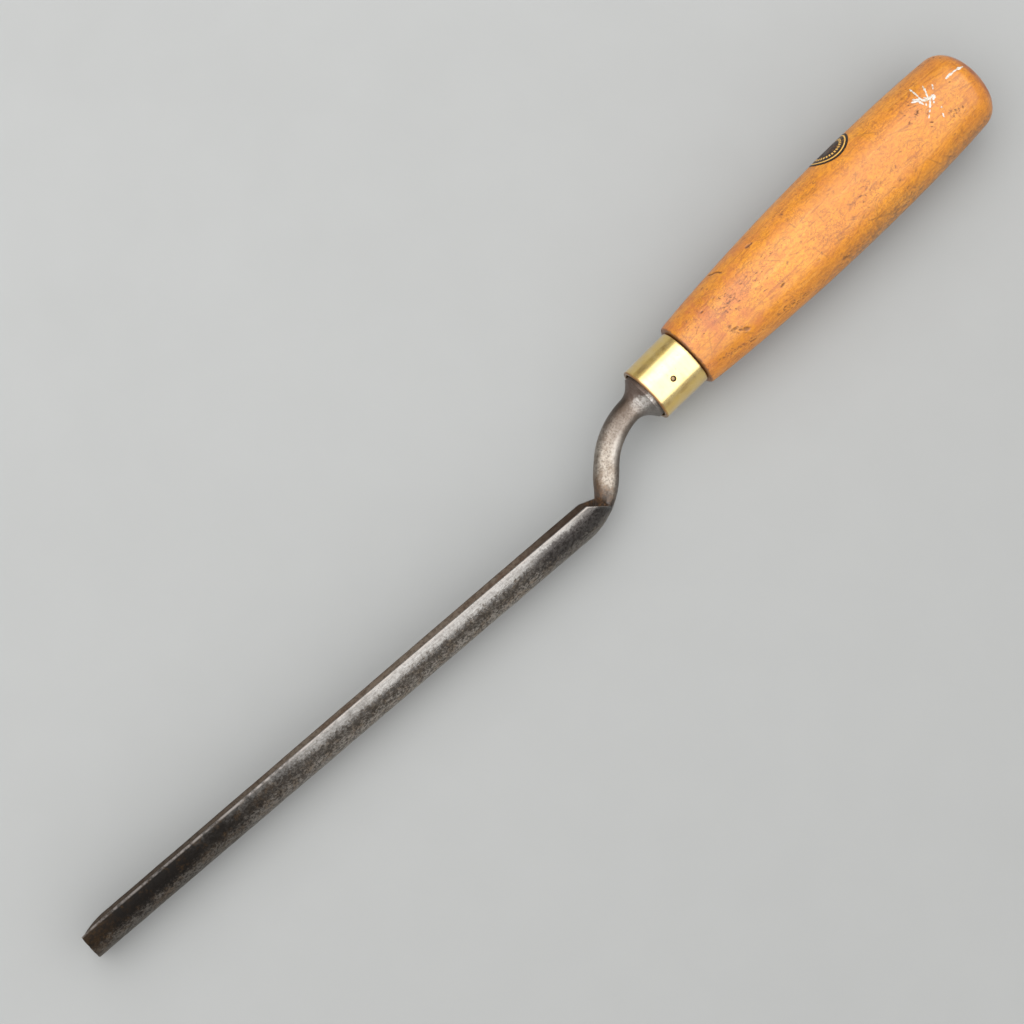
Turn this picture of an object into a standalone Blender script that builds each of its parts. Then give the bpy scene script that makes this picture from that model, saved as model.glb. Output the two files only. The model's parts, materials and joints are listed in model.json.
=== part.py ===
"""Cranked paring gouge, lying on its side on a bench.

A channel-section blade, its cranked neck, bolster and tang are one forging. The tang is driven into a turned
boxwood handle, and a brass ferrule with one pin keeps the handle from splitting.

Tool axes: +X runs from the cutting edge to the handle along the axis of the blade's outer round, +Y is the
side that the hollow faces and that the handle is cranked to, and +Z runs across the blade's width. The tool
is then rolled about X until the blade and the belly of the handle both touch the bench at Z = 0.
"""
import math

import bmesh
import bpy
from mathutils import Matrix, Vector

MM = 0.001
GAP = 0.3 * MM                      # clearance kept between touching pieces
CUTTER_LEAD = 2.0 * MM              # how far a cutter stands out of the piece that it cuts

# Channel blade, a 7/8 in gouge
BLADE_ROUND = 11.2 * MM             # radius of the outside
HOLLOW_RADIUS = 9.9 * MM            # radius of the hollow
WALL = 3.0 * MM                     # thickness along the middle of the back
TIP_DEPTH = 9.1 * MM                # back to rims at the cutting end
HEEL_DEPTH = 9.5 * MM               # back to rims at the neck end
BEVEL_LENGTH = 13.0 * MM            # in-cannel grind
EDGE = 0.3 * MM                     # thickness left at the cutting edge
CORNER_LENGTH = 9.0 * MM            # length over which the corners of the edge are worn away
LOWER_WEAR = 1.6 * MM
UPPER_WEAR = 0.5 * MM
WIND = math.radians(2.9)            # twist of the blade from heel to tip

# Crank, along the back of the forging
BEND_START = 193.2 * MM             # where the back leaves the straight
LOWER_BEND_RADIUS = 26.3 * MM
CRANK_ANGLE = math.radians(48.4)
RAMP_LENGTH = 3.593 * MM
UPPER_BEND_RADIUS = 25.0 * MM       # at the middle of the neck
HANDLE_ANGLE = math.radians(4.03)   # the handle leans away from the line of the blade
NECK_RUN = 5.883 * MM              # straight from the upper bend to the ferrule
NECK_OFFSET = 0.35 * MM             # the neck meets the bolster a little off its middle
UPPER_WING = 197.8 * MM             # corner where the upper rim stops
LOWER_WING = 199.0 * MM
UPPER_LEAN = math.radians(38.0)     # of the plane that cuts the upper wing, from the line of the blade
LOWER_LEAN = math.radians(18.0)
SHED_DEPTH = 4.0 * MM               # depth of that cut from which a wing draws in to the neck
SHOULDER_FILLET = 0.8 * MM          # where the neck stands out of the cut
CLOSED_TURN = math.radians(26.5)    # turn of the lower bend at which the hollow has run out
NECK_TURN = math.radians(40.0)      # turn at which only the neck is left

# Neck, bolster and tang
NECK_FOOT = 8.2 * MM                # thickness at the top of the lower bend
NECK = 8.1 * MM                     # thickness along the upper bend
NECK_WIDTH = 8.4 * MM
NECK_SQUARENESS = 2.3               # superellipse power of the neck; 2 is round
FLARE_START = 7.1 * MM              # before the front of the ferrule
FLARE_END = 1.1 * MM
FLARE_POWER = 2.2
FLARE_ROUNDING = 1.6                # how early in the flare the section is round
BOLSTER_RADIUS = 7.75 * MM
BOLSTER_EASE = 0.35 * MM
BOLSTER_SEAT = 1.8 * MM             # depth of the bolster inside the ferrule's mouth
TANG_ROOT = 7.0 * MM
TANG_POINT = 3.2 * MM
TANG_LENGTH = 64.0 * MM
TANG_SQUARENESS = 7.0

# Ferrule and its pin, measured from the front of the ferrule
FERRULE_LENGTH = 17.4 * MM
FERRULE_FRONT_RADIUS = 9.5 * MM
FERRULE_REAR_RADIUS = 9.7 * MM
FERRULE_BORE = 8.4 * MM
FERRULE_EASE = 0.25 * MM
PIN_RADIUS = 0.68 * MM
PIN_PLACE = 8.3 * MM
PIN_ANGLE = math.radians(8.0)       # from +Z towards -Y
PIN_DEPTH = 3.8 * MM
PIN_DOME = 0.25 * MM

# Handle, measured from the front of the ferrule
HANDLE_LENGTH = 143.95 * MM
SHOULDER_RADIUS = 11.2 * MM
SHOULDER_EASE = 0.6 * MM
BELLY_RADIUS = 15.2 * MM
BELLY_PLACE = 93.0 * MM
SWELL_POWER = 0.80                  # below 1 fills out the front of the belly
BUTT_START = 135.4 * MM             # where the end begins to round over
BUTT_DROP = 1.25 * MM               # loss of radius from the belly to there
BUTT_TAPER = 2.6                    # power of that loss
BUTT_POWER = 2.4                    # superellipse power of the end; 2 is an ellipse

# Facets
HALF_RING = 18                      # points on each of the two halves of a ring
HANDLE_SIDES = 64
FERRULE_SIDES = 64
PIN_SIDES = 20
WELD = 0.0001 * MM                  # points closer than this are one point


def left_of(heading):
    """Unit vector square to a heading in the XY plane, from the back of the forging to its front."""
    return Vector((-math.sin(heading), math.cos(heading), 0.0))


def along(heading):
    return Vector((math.cos(heading), math.sin(heading), 0.0))


def smooth(value):
    """Ease a value from 0 to 1 with level ends."""
    value = min(max(value, 0.0), 1.0)
    return value * value * (3.0 - 2.0 * value)


def crescent(wall, hollow_radius, upper_depth, lower_depth):
    """Section of the channel as (depth from the back, distance across): outer round, then hollow."""

    def arc(radius, centre_depth):
        upper = math.acos((centre_depth - upper_depth) / radius)
        lower = -math.acos((centre_depth - lower_depth) / radius)
        angles = [upper + (lower - upper) * step / (HALF_RING - 1) for step in range(HALF_RING)]
        return [(centre_depth - radius * math.cos(a), radius * math.sin(a)) for a in angles]

    outside = arc(BLADE_ROUND, BLADE_ROUND)
    inside = arc(hollow_radius, wall + hollow_radius)
    return outside + inside[::-1]


def bar(thickness, width, squareness):
    """Section of the neck, bolster and tang: a superellipse, started on the same side as the crescent."""
    power = 2.0 / squareness
    section = []
    for step in range(2 * HALF_RING):
        angle = math.pi * (step + 0.5) / HALF_RING
        back = math.copysign(abs(math.sin(angle)) ** power, math.sin(angle))
        across = math.copysign(abs(math.cos(angle)) ** power, math.cos(angle))
        section.append(((1.0 - back) * thickness / 2.0, across * width / 2.0))
    return section


def between(first, second, share):
    """Point of a section part of the way from one point to another."""
    return tuple(a + (b - a) * share for a, b in zip(first, second))


def wound(section, angle):
    """Section turned about the axis of the blade's outer round."""
    turned_points = []
    for depth, across in section:
        y = depth - BLADE_ROUND
        turned_y = y * math.cos(angle) - across * math.sin(angle)
        turned_z = y * math.sin(angle) + across * math.cos(angle)
        turned_points.append((turned_y + BLADE_ROUND, turned_z))
    return turned_points


def ring(section, back, heading):
    """Points of a section that stands square to a heading, with its back at a given point."""
    return [back + left_of(heading) * depth + Vector((0.0, 0.0, across)) for depth, across in section]


def centred_ring(section, thickness, centre, heading):
    return ring(section, centre - left_of(heading) * (thickness / 2.0), heading)


def blade_rings():
    """Straight part of the blade, from the cutting edge to the start of the lower bend."""
    bevel_steps = 7
    straight_steps = 7
    places = [BEVEL_LENGTH * step / bevel_steps for step in range(bevel_steps)]
    run = BEND_START - BEVEL_LENGTH
    places += [BEVEL_LENGTH + run * step / straight_steps for step in range(straight_steps)]
    rings = []
    for x in places:
        bevel = max(0.0, 1.0 - x / BEVEL_LENGTH)
        wall = WALL + (EDGE - WALL) * bevel
        hollow_radius = HOLLOW_RADIUS + (BLADE_ROUND - EDGE - HOLLOW_RADIUS) * bevel
        depth = TIP_DEPTH + (HEEL_DEPTH - TIP_DEPTH) * x / BEND_START
        worn = max(0.0, 1.0 - x / CORNER_LENGTH) ** 2
        section = crescent(wall, hollow_radius, depth - UPPER_WEAR * worn, depth - LOWER_WEAR * worn)
        section = wound(section, -WIND * (1.0 - x / BEND_START))
        rings.append(ring(section, Vector((x, -BLADE_ROUND, 0.0)), 0.0))
    return rings


def neck_thickness(turn):
    """Thickness of the lower bend in its middle, from the blade's wall to the foot of the neck."""
    return WALL + (NECK_FOOT - WALL) * smooth(turn / CRANK_ANGLE)


def rim_depth(turn):
    """Depth from the back to the straight line of the rims in a section of the lower bend."""
    return LOWER_BEND_RADIUS - (LOWER_BEND_RADIUS - HEEL_DEPTH) / math.cos(turn)


def wing_depth(turn, wing, lean):
    """Depth from the back at which a wing ends, at its rim or at the plane that cuts it. Below 0 it is gone."""
    slope = math.tan(lean)
    height = LOWER_BEND_RADIUS - HEEL_DEPTH - slope * (wing - BEND_START)
    cut = LOWER_BEND_RADIUS - height / (math.cos(turn) - slope * math.sin(turn))
    return min(rim_depth(turn), cut)


def neck_front(turn, across):
    """Depth of the neck's front at a distance across, zero beside the neck."""
    share = abs(2.0 * across / NECK_WIDTH)
    if share >= 1.0:
        return 0.0
    rounding = (1.0 - share ** NECK_SQUARENESS) ** (1.0 / NECK_SQUARENESS)
    return neck_thickness(turn) * (1.0 + rounding) / 2.0


def filleted(first, second, radius):
    """Greater of two depths, eased where they are nearly equal."""
    share = min(max(0.5 + (first - second) / (2.0 * radius), 0.0), 1.0)
    return second + (first - second) * share + radius * share * (1.0 - share)


def closing_section(turn):
    """Section of the lower bend: the wings are cut away and the neck stands out between them."""
    corner_turn = math.atan2(UPPER_WING - BEND_START, LOWER_BEND_RADIUS - HEEL_DEPTH)
    share = smooth((turn - corner_turn) / (CLOSED_TURN - corner_turn))
    start_turn = min(turn, corner_turn)
    start_height = neck_thickness(start_turn) + HOLLOW_RADIUS - rim_depth(start_turn)
    opening = math.acos(start_height / HOLLOW_RADIUS)
    spread = opening + (math.pi / 2.0 - opening) * share
    open_half = HOLLOW_RADIUS * math.sin(opening)
    inner_half = open_half + ((NECK_WIDTH + SHOULDER_FILLET) / 2.0 - open_half) * share
    fillet = max(SHOULDER_FILLET * share, WELD)
    floor_centre = neck_thickness(turn) + HOLLOW_RADIUS
    neck = bar(neck_thickness(turn), NECK_WIDTH, NECK_SQUARENESS)
    outside = []
    inside = []
    for step in range(HALF_RING):
        side = 1.0 - 2.0 * step / (HALF_RING - 1)
        upper_cut = wing_depth(turn, UPPER_WING, UPPER_LEAN)
        lower_cut = wing_depth(turn, LOWER_WING, LOWER_LEAN)
        cut = upper_cut if side > 0.0 else lower_cut
        reach = math.acos(1.0 - max(cut, EDGE) / BLADE_ROUND)
        shed = 1.0 - smooth(cut / SHED_DEPTH)
        arc_point = (BLADE_ROUND * (1.0 - math.cos(reach * side)), BLADE_ROUND * math.sin(reach * side))
        outside.append(between(arc_point, neck[step], shed))
        half = min(inner_half, BLADE_ROUND * math.sin(reach))
        across = half * math.sin(spread * side) / math.sin(spread)
        hollow = floor_centre - math.sqrt(HOLLOW_RADIUS ** 2 - across ** 2)
        front_point = (filleted(neck_front(turn, across), min(max(cut, EDGE), hollow), fillet), across)
        inside.append(between(front_point, neck[2 * HALF_RING - 1 - step], shed))
    return outside + inside[::-1]


def lower_bend_rings():
    """Bend from the blade up into the crank, where the wings stop and the channel closes into the neck."""
    shoulder_turn = math.atan2(UPPER_WING - BEND_START, LOWER_BEND_RADIUS - HEEL_DEPTH)
    channel_steps = 2
    shoulder_steps = 20
    foot_steps = 2
    turns = [shoulder_turn * step / channel_steps for step in range(channel_steps)]
    turns += [shoulder_turn + (NECK_TURN - shoulder_turn) * step / shoulder_steps for step in range(shoulder_steps)]
    turns += [NECK_TURN + (CRANK_ANGLE - NECK_TURN) * step / foot_steps for step in range(foot_steps)]
    centre = Vector((BEND_START, LOWER_BEND_RADIUS - BLADE_ROUND, 0.0))
    return [ring(closing_section(turn), centre - left_of(turn) * LOWER_BEND_RADIUS, turn) for turn in turns]


def upper_bend_rings():
    """Straight ramp of the crank and the bend back to the line of the handle."""
    ramp_steps = 2
    bend_steps = 8
    lower_centre = Vector((BEND_START, LOWER_BEND_RADIUS - BLADE_ROUND, 0.0))
    foot = lower_centre - left_of(CRANK_ANGLE) * (LOWER_BEND_RADIUS - NECK_FOOT / 2.0)
    rings = []
    for step in range(ramp_steps):
        share = step / ramp_steps
        thickness = NECK_FOOT + (NECK - NECK_FOOT) * share
        place = foot + along(CRANK_ANGLE) * (RAMP_LENGTH * share)
        section = bar(thickness, NECK_WIDTH, NECK_SQUARENESS)
        rings.append(centred_ring(section, thickness, place, CRANK_ANGLE))
    bend_centre = foot + along(CRANK_ANGLE) * RAMP_LENGTH - left_of(CRANK_ANGLE) * UPPER_BEND_RADIUS
    flare_heading = HANDLE_ANGLE + (FLARE_START - NECK_RUN) / UPPER_BEND_RADIUS
    for step in range(bend_steps):
        heading = CRANK_ANGLE + (flare_heading - CRANK_ANGLE) * step / bend_steps
        place = bend_centre + left_of(heading) * UPPER_BEND_RADIUS
        rings.append(centred_ring(bar(NECK, NECK_WIDTH, NECK_SQUARENESS), NECK, place, heading))
    bend_end = bend_centre + left_of(HANDLE_ANGLE) * (UPPER_BEND_RADIUS - NECK_OFFSET)
    return rings, bend_end + along(HANDLE_ANGLE) * NECK_RUN


def bolster_rings(ferrule_front):
    """Trumpet flare, bolster and tang on the axis of the handle."""
    flare_steps = 7
    tang_steps = 4
    flare_length = FLARE_START - FLARE_END
    sections = []
    for step in range(flare_steps + 1):
        share = step / flare_steps
        swell = share ** FLARE_POWER
        round_share = smooth(share * FLARE_ROUNDING)
        thickness = NECK + (2.0 * BOLSTER_RADIUS - NECK) * swell
        width = NECK_WIDTH + (2.0 * BOLSTER_RADIUS - NECK_WIDTH) * swell
        squareness = NECK_SQUARENESS + (2.0 - NECK_SQUARENESS) * round_share
        offset = NECK_OFFSET * (1.0 - swell)
        sections.append((flare_length * share - FLARE_START, thickness, width, squareness, offset))
    eased = 2.0 * (BOLSTER_RADIUS - BOLSTER_EASE)
    full = 2.0 * BOLSTER_RADIUS
    sections.append((BOLSTER_SEAT - BOLSTER_EASE, full, full, 2.0, 0.0))
    sections.append((BOLSTER_SEAT, eased, eased, 2.0, 0.0))
    for step in range(tang_steps + 1):
        share = step / tang_steps
        side = TANG_ROOT + (TANG_POINT - TANG_ROOT) * share
        sections.append((BOLSTER_SEAT + TANG_LENGTH * share, side, side, TANG_SQUARENESS, 0.0))
    rings = []
    for place, thickness, width, squareness, offset in sections:
        centre = ferrule_front + along(HANDLE_ANGLE) * place + left_of(HANDLE_ANGLE) * offset
        rings.append(centred_ring(bar(thickness, width, squareness), thickness, centre, HANDLE_ANGLE))
    return rings


def finish_mesh(name, shape, sharp_angle=math.radians(35.0)):
    """Turn a bmesh into an object with its faces out, shaded smooth across its round stretches."""
    bmesh.ops.recalc_face_normals(shape, faces=shape.faces)
    mesh = bpy.data.meshes.new(name)
    shape.to_mesh(mesh)
    shape.free()
    mesh.shade_smooth()
    mesh.set_sharp_from_angle(angle=sharp_angle)
    piece = bpy.data.objects.new(name, mesh)
    bpy.context.scene.collection.objects.link(piece)
    return piece


def lofted(name, rings):
    """Closed skin over a row of rings. Each end is closed between its outer and inner halves."""
    shape = bmesh.new()
    rows = [[shape.verts.new(point) for point in points] for points in rings]
    count = len(rows[0])
    for row, following in zip(rows, rows[1:]):
        for here in range(count):
            there = (here + 1) % count
            shape.faces.new((row[here], row[there], following[there], following[here]))
    for row in (rows[0], rows[-1]):
        for here in range(count // 2 - 1):
            shape.faces.new((row[here], row[here + 1], row[count - 2 - here], row[count - 1 - here]))
    return finish_mesh(name, shape)


def turned(name, profile, sides, closed=False):
    """Solid turned about X from a profile of (place along X, radius) points."""
    shape = bmesh.new()
    points = [shape.verts.new((place, 0.0, radius)) for place, radius in profile]
    pairs = list(zip(points, points[1:]))
    if closed:
        pairs.append((points[-1], points[0]))
    edges = [shape.edges.new(pair) for pair in pairs]
    bmesh.ops.spin(shape, geom=points + edges, cent=(0.0, 0.0, 0.0), axis=(1.0, 0.0, 0.0), angle=math.tau,
                   steps=sides, use_merge=True)
    bmesh.ops.remove_doubles(shape, verts=shape.verts, dist=WELD)
    return finish_mesh(name, shape)


def handle_radius(place):
    """Radius of the handle: it swells to the belly, eases off and rounds over at the butt."""
    shoulder = FERRULE_LENGTH + GAP
    if place < BELLY_PLACE:
        swell = math.sin(math.pi / 2.0 * (place - shoulder) / (BELLY_PLACE - shoulder)) ** SWELL_POWER
        return SHOULDER_RADIUS + (BELLY_RADIUS - SHOULDER_RADIUS) * swell
    radius = BELLY_RADIUS - BUTT_DROP * ((place - BELLY_PLACE) / (BUTT_START - BELLY_PLACE)) ** BUTT_TAPER
    if place > BUTT_START:
        end_share = (place - BUTT_START) / (HANDLE_LENGTH - BUTT_START)
        radius *= max(0.0, 1.0 - end_share ** BUTT_POWER) ** (1.0 / BUTT_POWER)
    return radius


def handle_profile():
    """Half outline of the handle, from the middle of the spigot's end round to the middle of the butt."""
    spigot_front = BOLSTER_SEAT + GAP
    spigot_radius = FERRULE_BORE - GAP
    shoulder = FERRULE_LENGTH + GAP
    ease_steps = 3
    body_steps = 22
    butt_steps = 9
    profile = [(spigot_front, 0.0), (spigot_front, spigot_radius - SHOULDER_EASE)]
    profile += [(spigot_front + SHOULDER_EASE, spigot_radius), (shoulder, spigot_radius)]
    for step in range(ease_steps):
        angle = math.pi / 2.0 * step / ease_steps
        radius = SHOULDER_RADIUS - SHOULDER_EASE * (1.0 - math.sin(angle))
        profile.append((shoulder + SHOULDER_EASE * (1.0 - math.cos(angle)), radius))
    body_start = shoulder + SHOULDER_EASE
    for step in range(body_steps):
        place = body_start + (BUTT_START - body_start) * step / body_steps
        profile.append((place, handle_radius(place)))
    for step in range(butt_steps):
        place = BUTT_START + (HANDLE_LENGTH - BUTT_START) * math.sin(math.pi / 2.0 * step / butt_steps)
        profile.append((place, handle_radius(place)))
    profile.append((HANDLE_LENGTH, 0.0))
    return profile


def ferrule_profile():
    """Closed outline of the ferrule's wall, with its outer edges eased."""
    return [
        (0.0, FERRULE_BORE),
        (0.0, FERRULE_FRONT_RADIUS - FERRULE_EASE),
        (FERRULE_EASE, FERRULE_FRONT_RADIUS),
        (FERRULE_LENGTH - FERRULE_EASE, FERRULE_REAR_RADIUS),
        (FERRULE_LENGTH, FERRULE_REAR_RADIUS - FERRULE_EASE),
        (FERRULE_LENGTH, FERRULE_BORE),
    ]


def pin_profile():
    """Half outline of the pin: a plain shank with a low domed head level with the ferrule."""
    dome_steps = 4
    ferrule_slope = (FERRULE_REAR_RADIUS - FERRULE_FRONT_RADIUS) / FERRULE_LENGTH
    top = FERRULE_FRONT_RADIUS + ferrule_slope * PIN_PLACE
    profile = [(top - PIN_DEPTH, 0.0), (top - PIN_DEPTH, PIN_RADIUS)]
    for step in range(dome_steps):
        angle = math.pi / 2.0 * step / dome_steps
        profile.append((top - PIN_DOME * (1.0 - math.sin(angle)), PIN_RADIUS * math.cos(angle)))
    profile.append((top, 0.0))
    return profile


def make_blade():
    neck_rings, ferrule_front = upper_bend_rings()
    rings = blade_rings() + lower_bend_rings() + neck_rings + bolster_rings(ferrule_front)
    return lofted("gouge_blade", rings), ferrule_front


def tang_cutter():
    """Tapered square hole for the tang, clear of it all round and open at the spigot's end."""
    taper = (TANG_POINT - TANG_ROOT) / TANG_LENGTH
    rings = []
    for place in (BOLSTER_SEAT - CUTTER_LEAD, BOLSTER_SEAT + TANG_LENGTH + GAP):
        side = TANG_ROOT + taper * (place - BOLSTER_SEAT) + 2.0 * GAP
        centre = Vector((place, 0.0, 0.0))
        rings.append(centred_ring(bar(side, side, TANG_SQUARENESS), side, centre, 0.0))
    return as_cutter(lofted("tang_hole", rings))


def pin_cutter():
    """Drilling for the pin, through the ferrule and into the spigot."""
    start = FERRULE_FRONT_RADIUS - PIN_DEPTH - GAP
    end = FERRULE_REAR_RADIUS + CUTTER_LEAD
    radius = PIN_RADIUS + GAP
    profile = [(start, 0.0), (start, radius), (end, radius), (end, 0.0)]
    drilling = turned("pin_hole", profile, PIN_SIDES)
    drilling.matrix_basis = pin_place()
    return as_cutter(drilling)


def pin_place():
    """Matrix that stands a solid turned about X on the handle's axis, pointing out at the pin's angle."""
    outward = Matrix.Rotation(-math.pi / 2.0, 4, "Y")
    around = Matrix.Rotation(PIN_ANGLE, 4, "X")
    return Matrix.Translation((PIN_PLACE, 0.0, 0.0)) @ around @ outward


def as_cutter(piece):
    piece.hide_render = True
    piece.display_type = "WIRE"
    return piece


def cut(piece, cutter):
    opening = piece.modifiers.new(cutter.name, "BOOLEAN")
    opening.operation = "DIFFERENCE"
    opening.solver = "EXACT"
    opening.object = cutter


def painted(piece, name, colour, roughness, metallic):
    """Give a piece its own plain material."""
    material = bpy.data.materials.new(name)
    material.use_nodes = True
    shader = material.node_tree.nodes["Principled BSDF"]
    shader.inputs["Base Color"].default_value = (*colour, 1.0)
    shader.inputs["Roughness"].default_value = roughness
    shader.inputs["Metallic"].default_value = metallic
    piece.data.materials.append(material)


def lowest(piece, roll):
    """Lowest point of a piece when the tool, still in its own axes, is rolled about the blade."""
    rolled = Matrix.Rotation(roll, 4, "X") @ piece.matrix_world
    return min((rolled @ vertex.co).z for vertex in piece.data.vertices)


def rest_roll(blade, handle):
    """Roll at which the blade and the belly of the handle are equally low, found by halving."""
    bpy.context.view_layer.update()
    halvings = 40
    low = 0.0
    high = math.radians(45.0)
    for _ in range(halvings):
        middle = (low + high) / 2.0
        if lowest(handle, middle) < lowest(blade, middle):
            low = middle
        else:
            high = middle
    return (low + high) / 2.0


def stand_on_bench(tool, pieces):
    """Put the middle of the underside of the tool's box at the origin."""
    bpy.context.view_layer.update()
    corners = [piece.matrix_world @ vertex.co for piece in pieces for vertex in piece.data.vertices]
    lows = [min(corner[axis] for corner in corners) for axis in range(3)]
    highs = [max(corner[axis] for corner in corners) for axis in range(3)]
    tool.location -= Vector(((lows[0] + highs[0]) / 2.0, (lows[1] + highs[1]) / 2.0, lows[2]))


def empty(name, parent=None):
    guide = bpy.data.objects.new(name, None)
    bpy.context.scene.collection.objects.link(guide)
    guide.parent = parent
    return guide


def main():
    for leftover in list(bpy.data.objects):
        bpy.data.objects.remove(leftover)

    tool = empty("tool_axes")
    handle_axis = empty("handle_axis", tool)

    blade, ferrule_front = make_blade()
    blade.parent = tool
    handle_axis.matrix_basis = Matrix.Translation(ferrule_front) @ Matrix.Rotation(HANDLE_ANGLE, 4, "Z")

    handle = turned("handle", handle_profile(), HANDLE_SIDES)
    ferrule = turned("ferrule", ferrule_profile(), FERRULE_SIDES, closed=True)
    pin = turned("ferrule_pin", pin_profile(), PIN_SIDES)
    pin.matrix_basis = pin_place()

    tang_hole = tang_cutter()
    pin_hole = pin_cutter()
    for piece in (handle, ferrule, pin, tang_hole, pin_hole):
        piece.parent = handle_axis
    cut(handle, tang_hole)
    cut(handle, pin_hole)
    cut(ferrule, pin_hole)

    painted(blade, "forged steel", (0.16, 0.15, 0.14), 0.42, 0.9)
    painted(handle, "boxwood", (0.80, 0.38, 0.10), 0.38, 0.0)
    painted(ferrule, "brass", (0.72, 0.56, 0.22), 0.22, 1.0)
    painted(pin, "pin brass", (0.62, 0.46, 0.17), 0.3, 1.0)

    tool.rotation_euler.x = rest_roll(blade, handle)
    stand_on_bench(tool, (blade, handle, ferrule, pin))


main()
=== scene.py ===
"""Looks of a cranked paring gouge that lies on its side on a pale surface.

The forged steel, the turned handle, the ferrule and its pin are rebuilt finer than the frame's solids, with
their wear. A printed oval and some spilt paint lie on the handle.

Tool axes: +X runs from the cutting edge to the handle along the axis of the blade's outer round, +Y is the
side that the hollow faces, +Z runs across the blade's width. Handle axes: +X runs from the front of the
ferrule to the butt. Places on the handle are a distance along that axis and an angle from +Z towards -Y.
"""
import json
import math
import random

import bmesh
import bpy
import numpy as np
from mathutils import Matrix, Vector, noise


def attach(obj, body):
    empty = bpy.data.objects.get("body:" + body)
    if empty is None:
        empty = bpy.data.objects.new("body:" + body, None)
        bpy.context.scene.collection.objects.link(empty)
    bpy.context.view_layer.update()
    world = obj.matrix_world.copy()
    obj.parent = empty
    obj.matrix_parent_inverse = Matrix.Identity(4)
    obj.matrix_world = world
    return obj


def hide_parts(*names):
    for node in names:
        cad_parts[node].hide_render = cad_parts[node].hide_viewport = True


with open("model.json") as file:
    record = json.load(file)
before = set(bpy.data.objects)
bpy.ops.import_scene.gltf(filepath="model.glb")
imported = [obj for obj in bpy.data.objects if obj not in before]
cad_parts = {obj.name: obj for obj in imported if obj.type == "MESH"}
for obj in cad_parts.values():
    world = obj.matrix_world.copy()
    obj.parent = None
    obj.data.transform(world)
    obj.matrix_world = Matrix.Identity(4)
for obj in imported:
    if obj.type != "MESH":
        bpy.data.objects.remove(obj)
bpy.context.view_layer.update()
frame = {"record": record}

MM = 0.001
GAP = 0.3 * MM
random.seed(11)

# Channel blade
BLADE_ROUND = 11.2 * MM
HOLLOW_RADIUS = 9.9 * MM
WALL = 3.0 * MM
TIP_DEPTH = 9.1 * MM
HEEL_DEPTH = 9.5 * MM
BEVEL_LENGTH = 13.0 * MM
EDGE = 0.3 * MM
CORNER_LENGTH = 9.0 * MM
LOWER_WEAR = 1.6 * MM
UPPER_WEAR = 0.5 * MM
WIND = math.radians(2.9)
RIM_ROUND = 0.45 * MM               # worn corners of the rims
RIM_SHARE = 0.42                    # the most of a rim's width that such a corner takes up

# Crank, along the back of the forging
BEND_START = 193.2 * MM
LOWER_BEND_RADIUS = 26.3 * MM
CRANK_ANGLE = math.radians(48.4)
RAMP_LENGTH = 3.593 * MM
UPPER_BEND_RADIUS = 25.0 * MM
NECK_RUN = 5.883 * MM
NECK_OFFSET = 0.35 * MM
UPPER_WING = 197.8 * MM             # corners where the rims stop
LOWER_WING = 199.0 * MM
UPPER_LEAN = math.radians(38.0)     # planes that cut the wings, from the line of the blade
LOWER_LEAN = math.radians(18.0)
SHED_DEPTH = 4.0 * MM               # depth of that cut from which a wing draws in to the neck
SHOULDER_FILLET = 0.8 * MM
CLOSED_TURN = math.radians(26.5)    # the hollow has run out
NECK_TURN = math.radians(40.0)      # only the neck is left

# Neck, bolster and tang
NECK_FOOT = 8.2 * MM
NECK = 8.1 * MM
NECK_WIDTH = 8.4 * MM
NECK_SQUARENESS = 2.3
FLARE_START = 7.1 * MM
FLARE_END = 1.1 * MM
FLARE_POWER = 2.2
FLARE_ROUNDING = 1.6
BOLSTER_RADIUS = 7.75 * MM
BOLSTER_EASE = 0.35 * MM
BOLSTER_SEAT = 1.8 * MM
TANG_ROOT = 7.0 * MM
TANG_POINT = 3.2 * MM
TANG_LENGTH = 64.0 * MM
TANG_SQUARENESS = 7.0
TANG_HOLE_FRONT = 5.4 * MM          # radii of the tapered hole that clears the tang's corners
TANG_HOLE_END = 2.9 * MM

# Ferrule and its pin
FERRULE_LENGTH = 17.4 * MM
FERRULE_FRONT_RADIUS = 9.5 * MM
FERRULE_REAR_RADIUS = 9.7 * MM
FERRULE_BORE = 8.4 * MM
FERRULE_EASE = 0.3 * MM
MOUNT_RADIUS = FERRULE_FRONT_RADIUS - 0.7 * MM    # the mount's point on the ferrule's end face
PIN_RADIUS = 0.68 * MM
PIN_PLACE = 8.3 * MM
PIN_ANGLE = math.radians(8.0)
PIN_HEAD_DEPTH = 1.2 * MM
PIN_DOME = 0.3 * MM

# Handle
HANDLE_LENGTH = 143.95 * MM
SHOULDER_PLACE = FERRULE_LENGTH + GAP
SHOULDER_RADIUS = 11.2 * MM
SHOULDER_EASE = 0.4 * MM
BELLY_RADIUS = 15.2 * MM
BELLY_PLACE = 93.0 * MM
SWELL_POWER = 0.80
BUTT_START = 135.4 * MM
BUTT_DROP = 1.25 * MM
BUTT_TAPER = 2.6
BUTT_POWER = 2.4

# Printed oval on the handle
OVAL_PLACE = 93.7 * MM
OVAL_ANGLE = math.radians(-84.7)
OVAL_LENGTH = 15.0 * MM
OVAL_WIDTH = 17.2 * MM
OVAL_BEAD = math.radians(6.0)       # half of the spacing of the beads round it
OVAL_STAND = 0.04 * MM              # how far it stands off the wood
OVAL_SINK = 0.12 * MM

# Paint
PAINT_STAND = 0.12 * MM
SPLASH_PLACE = 123.5 * MM           # its middle
SPLASH_ANGLE = math.radians(-24.0)

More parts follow.
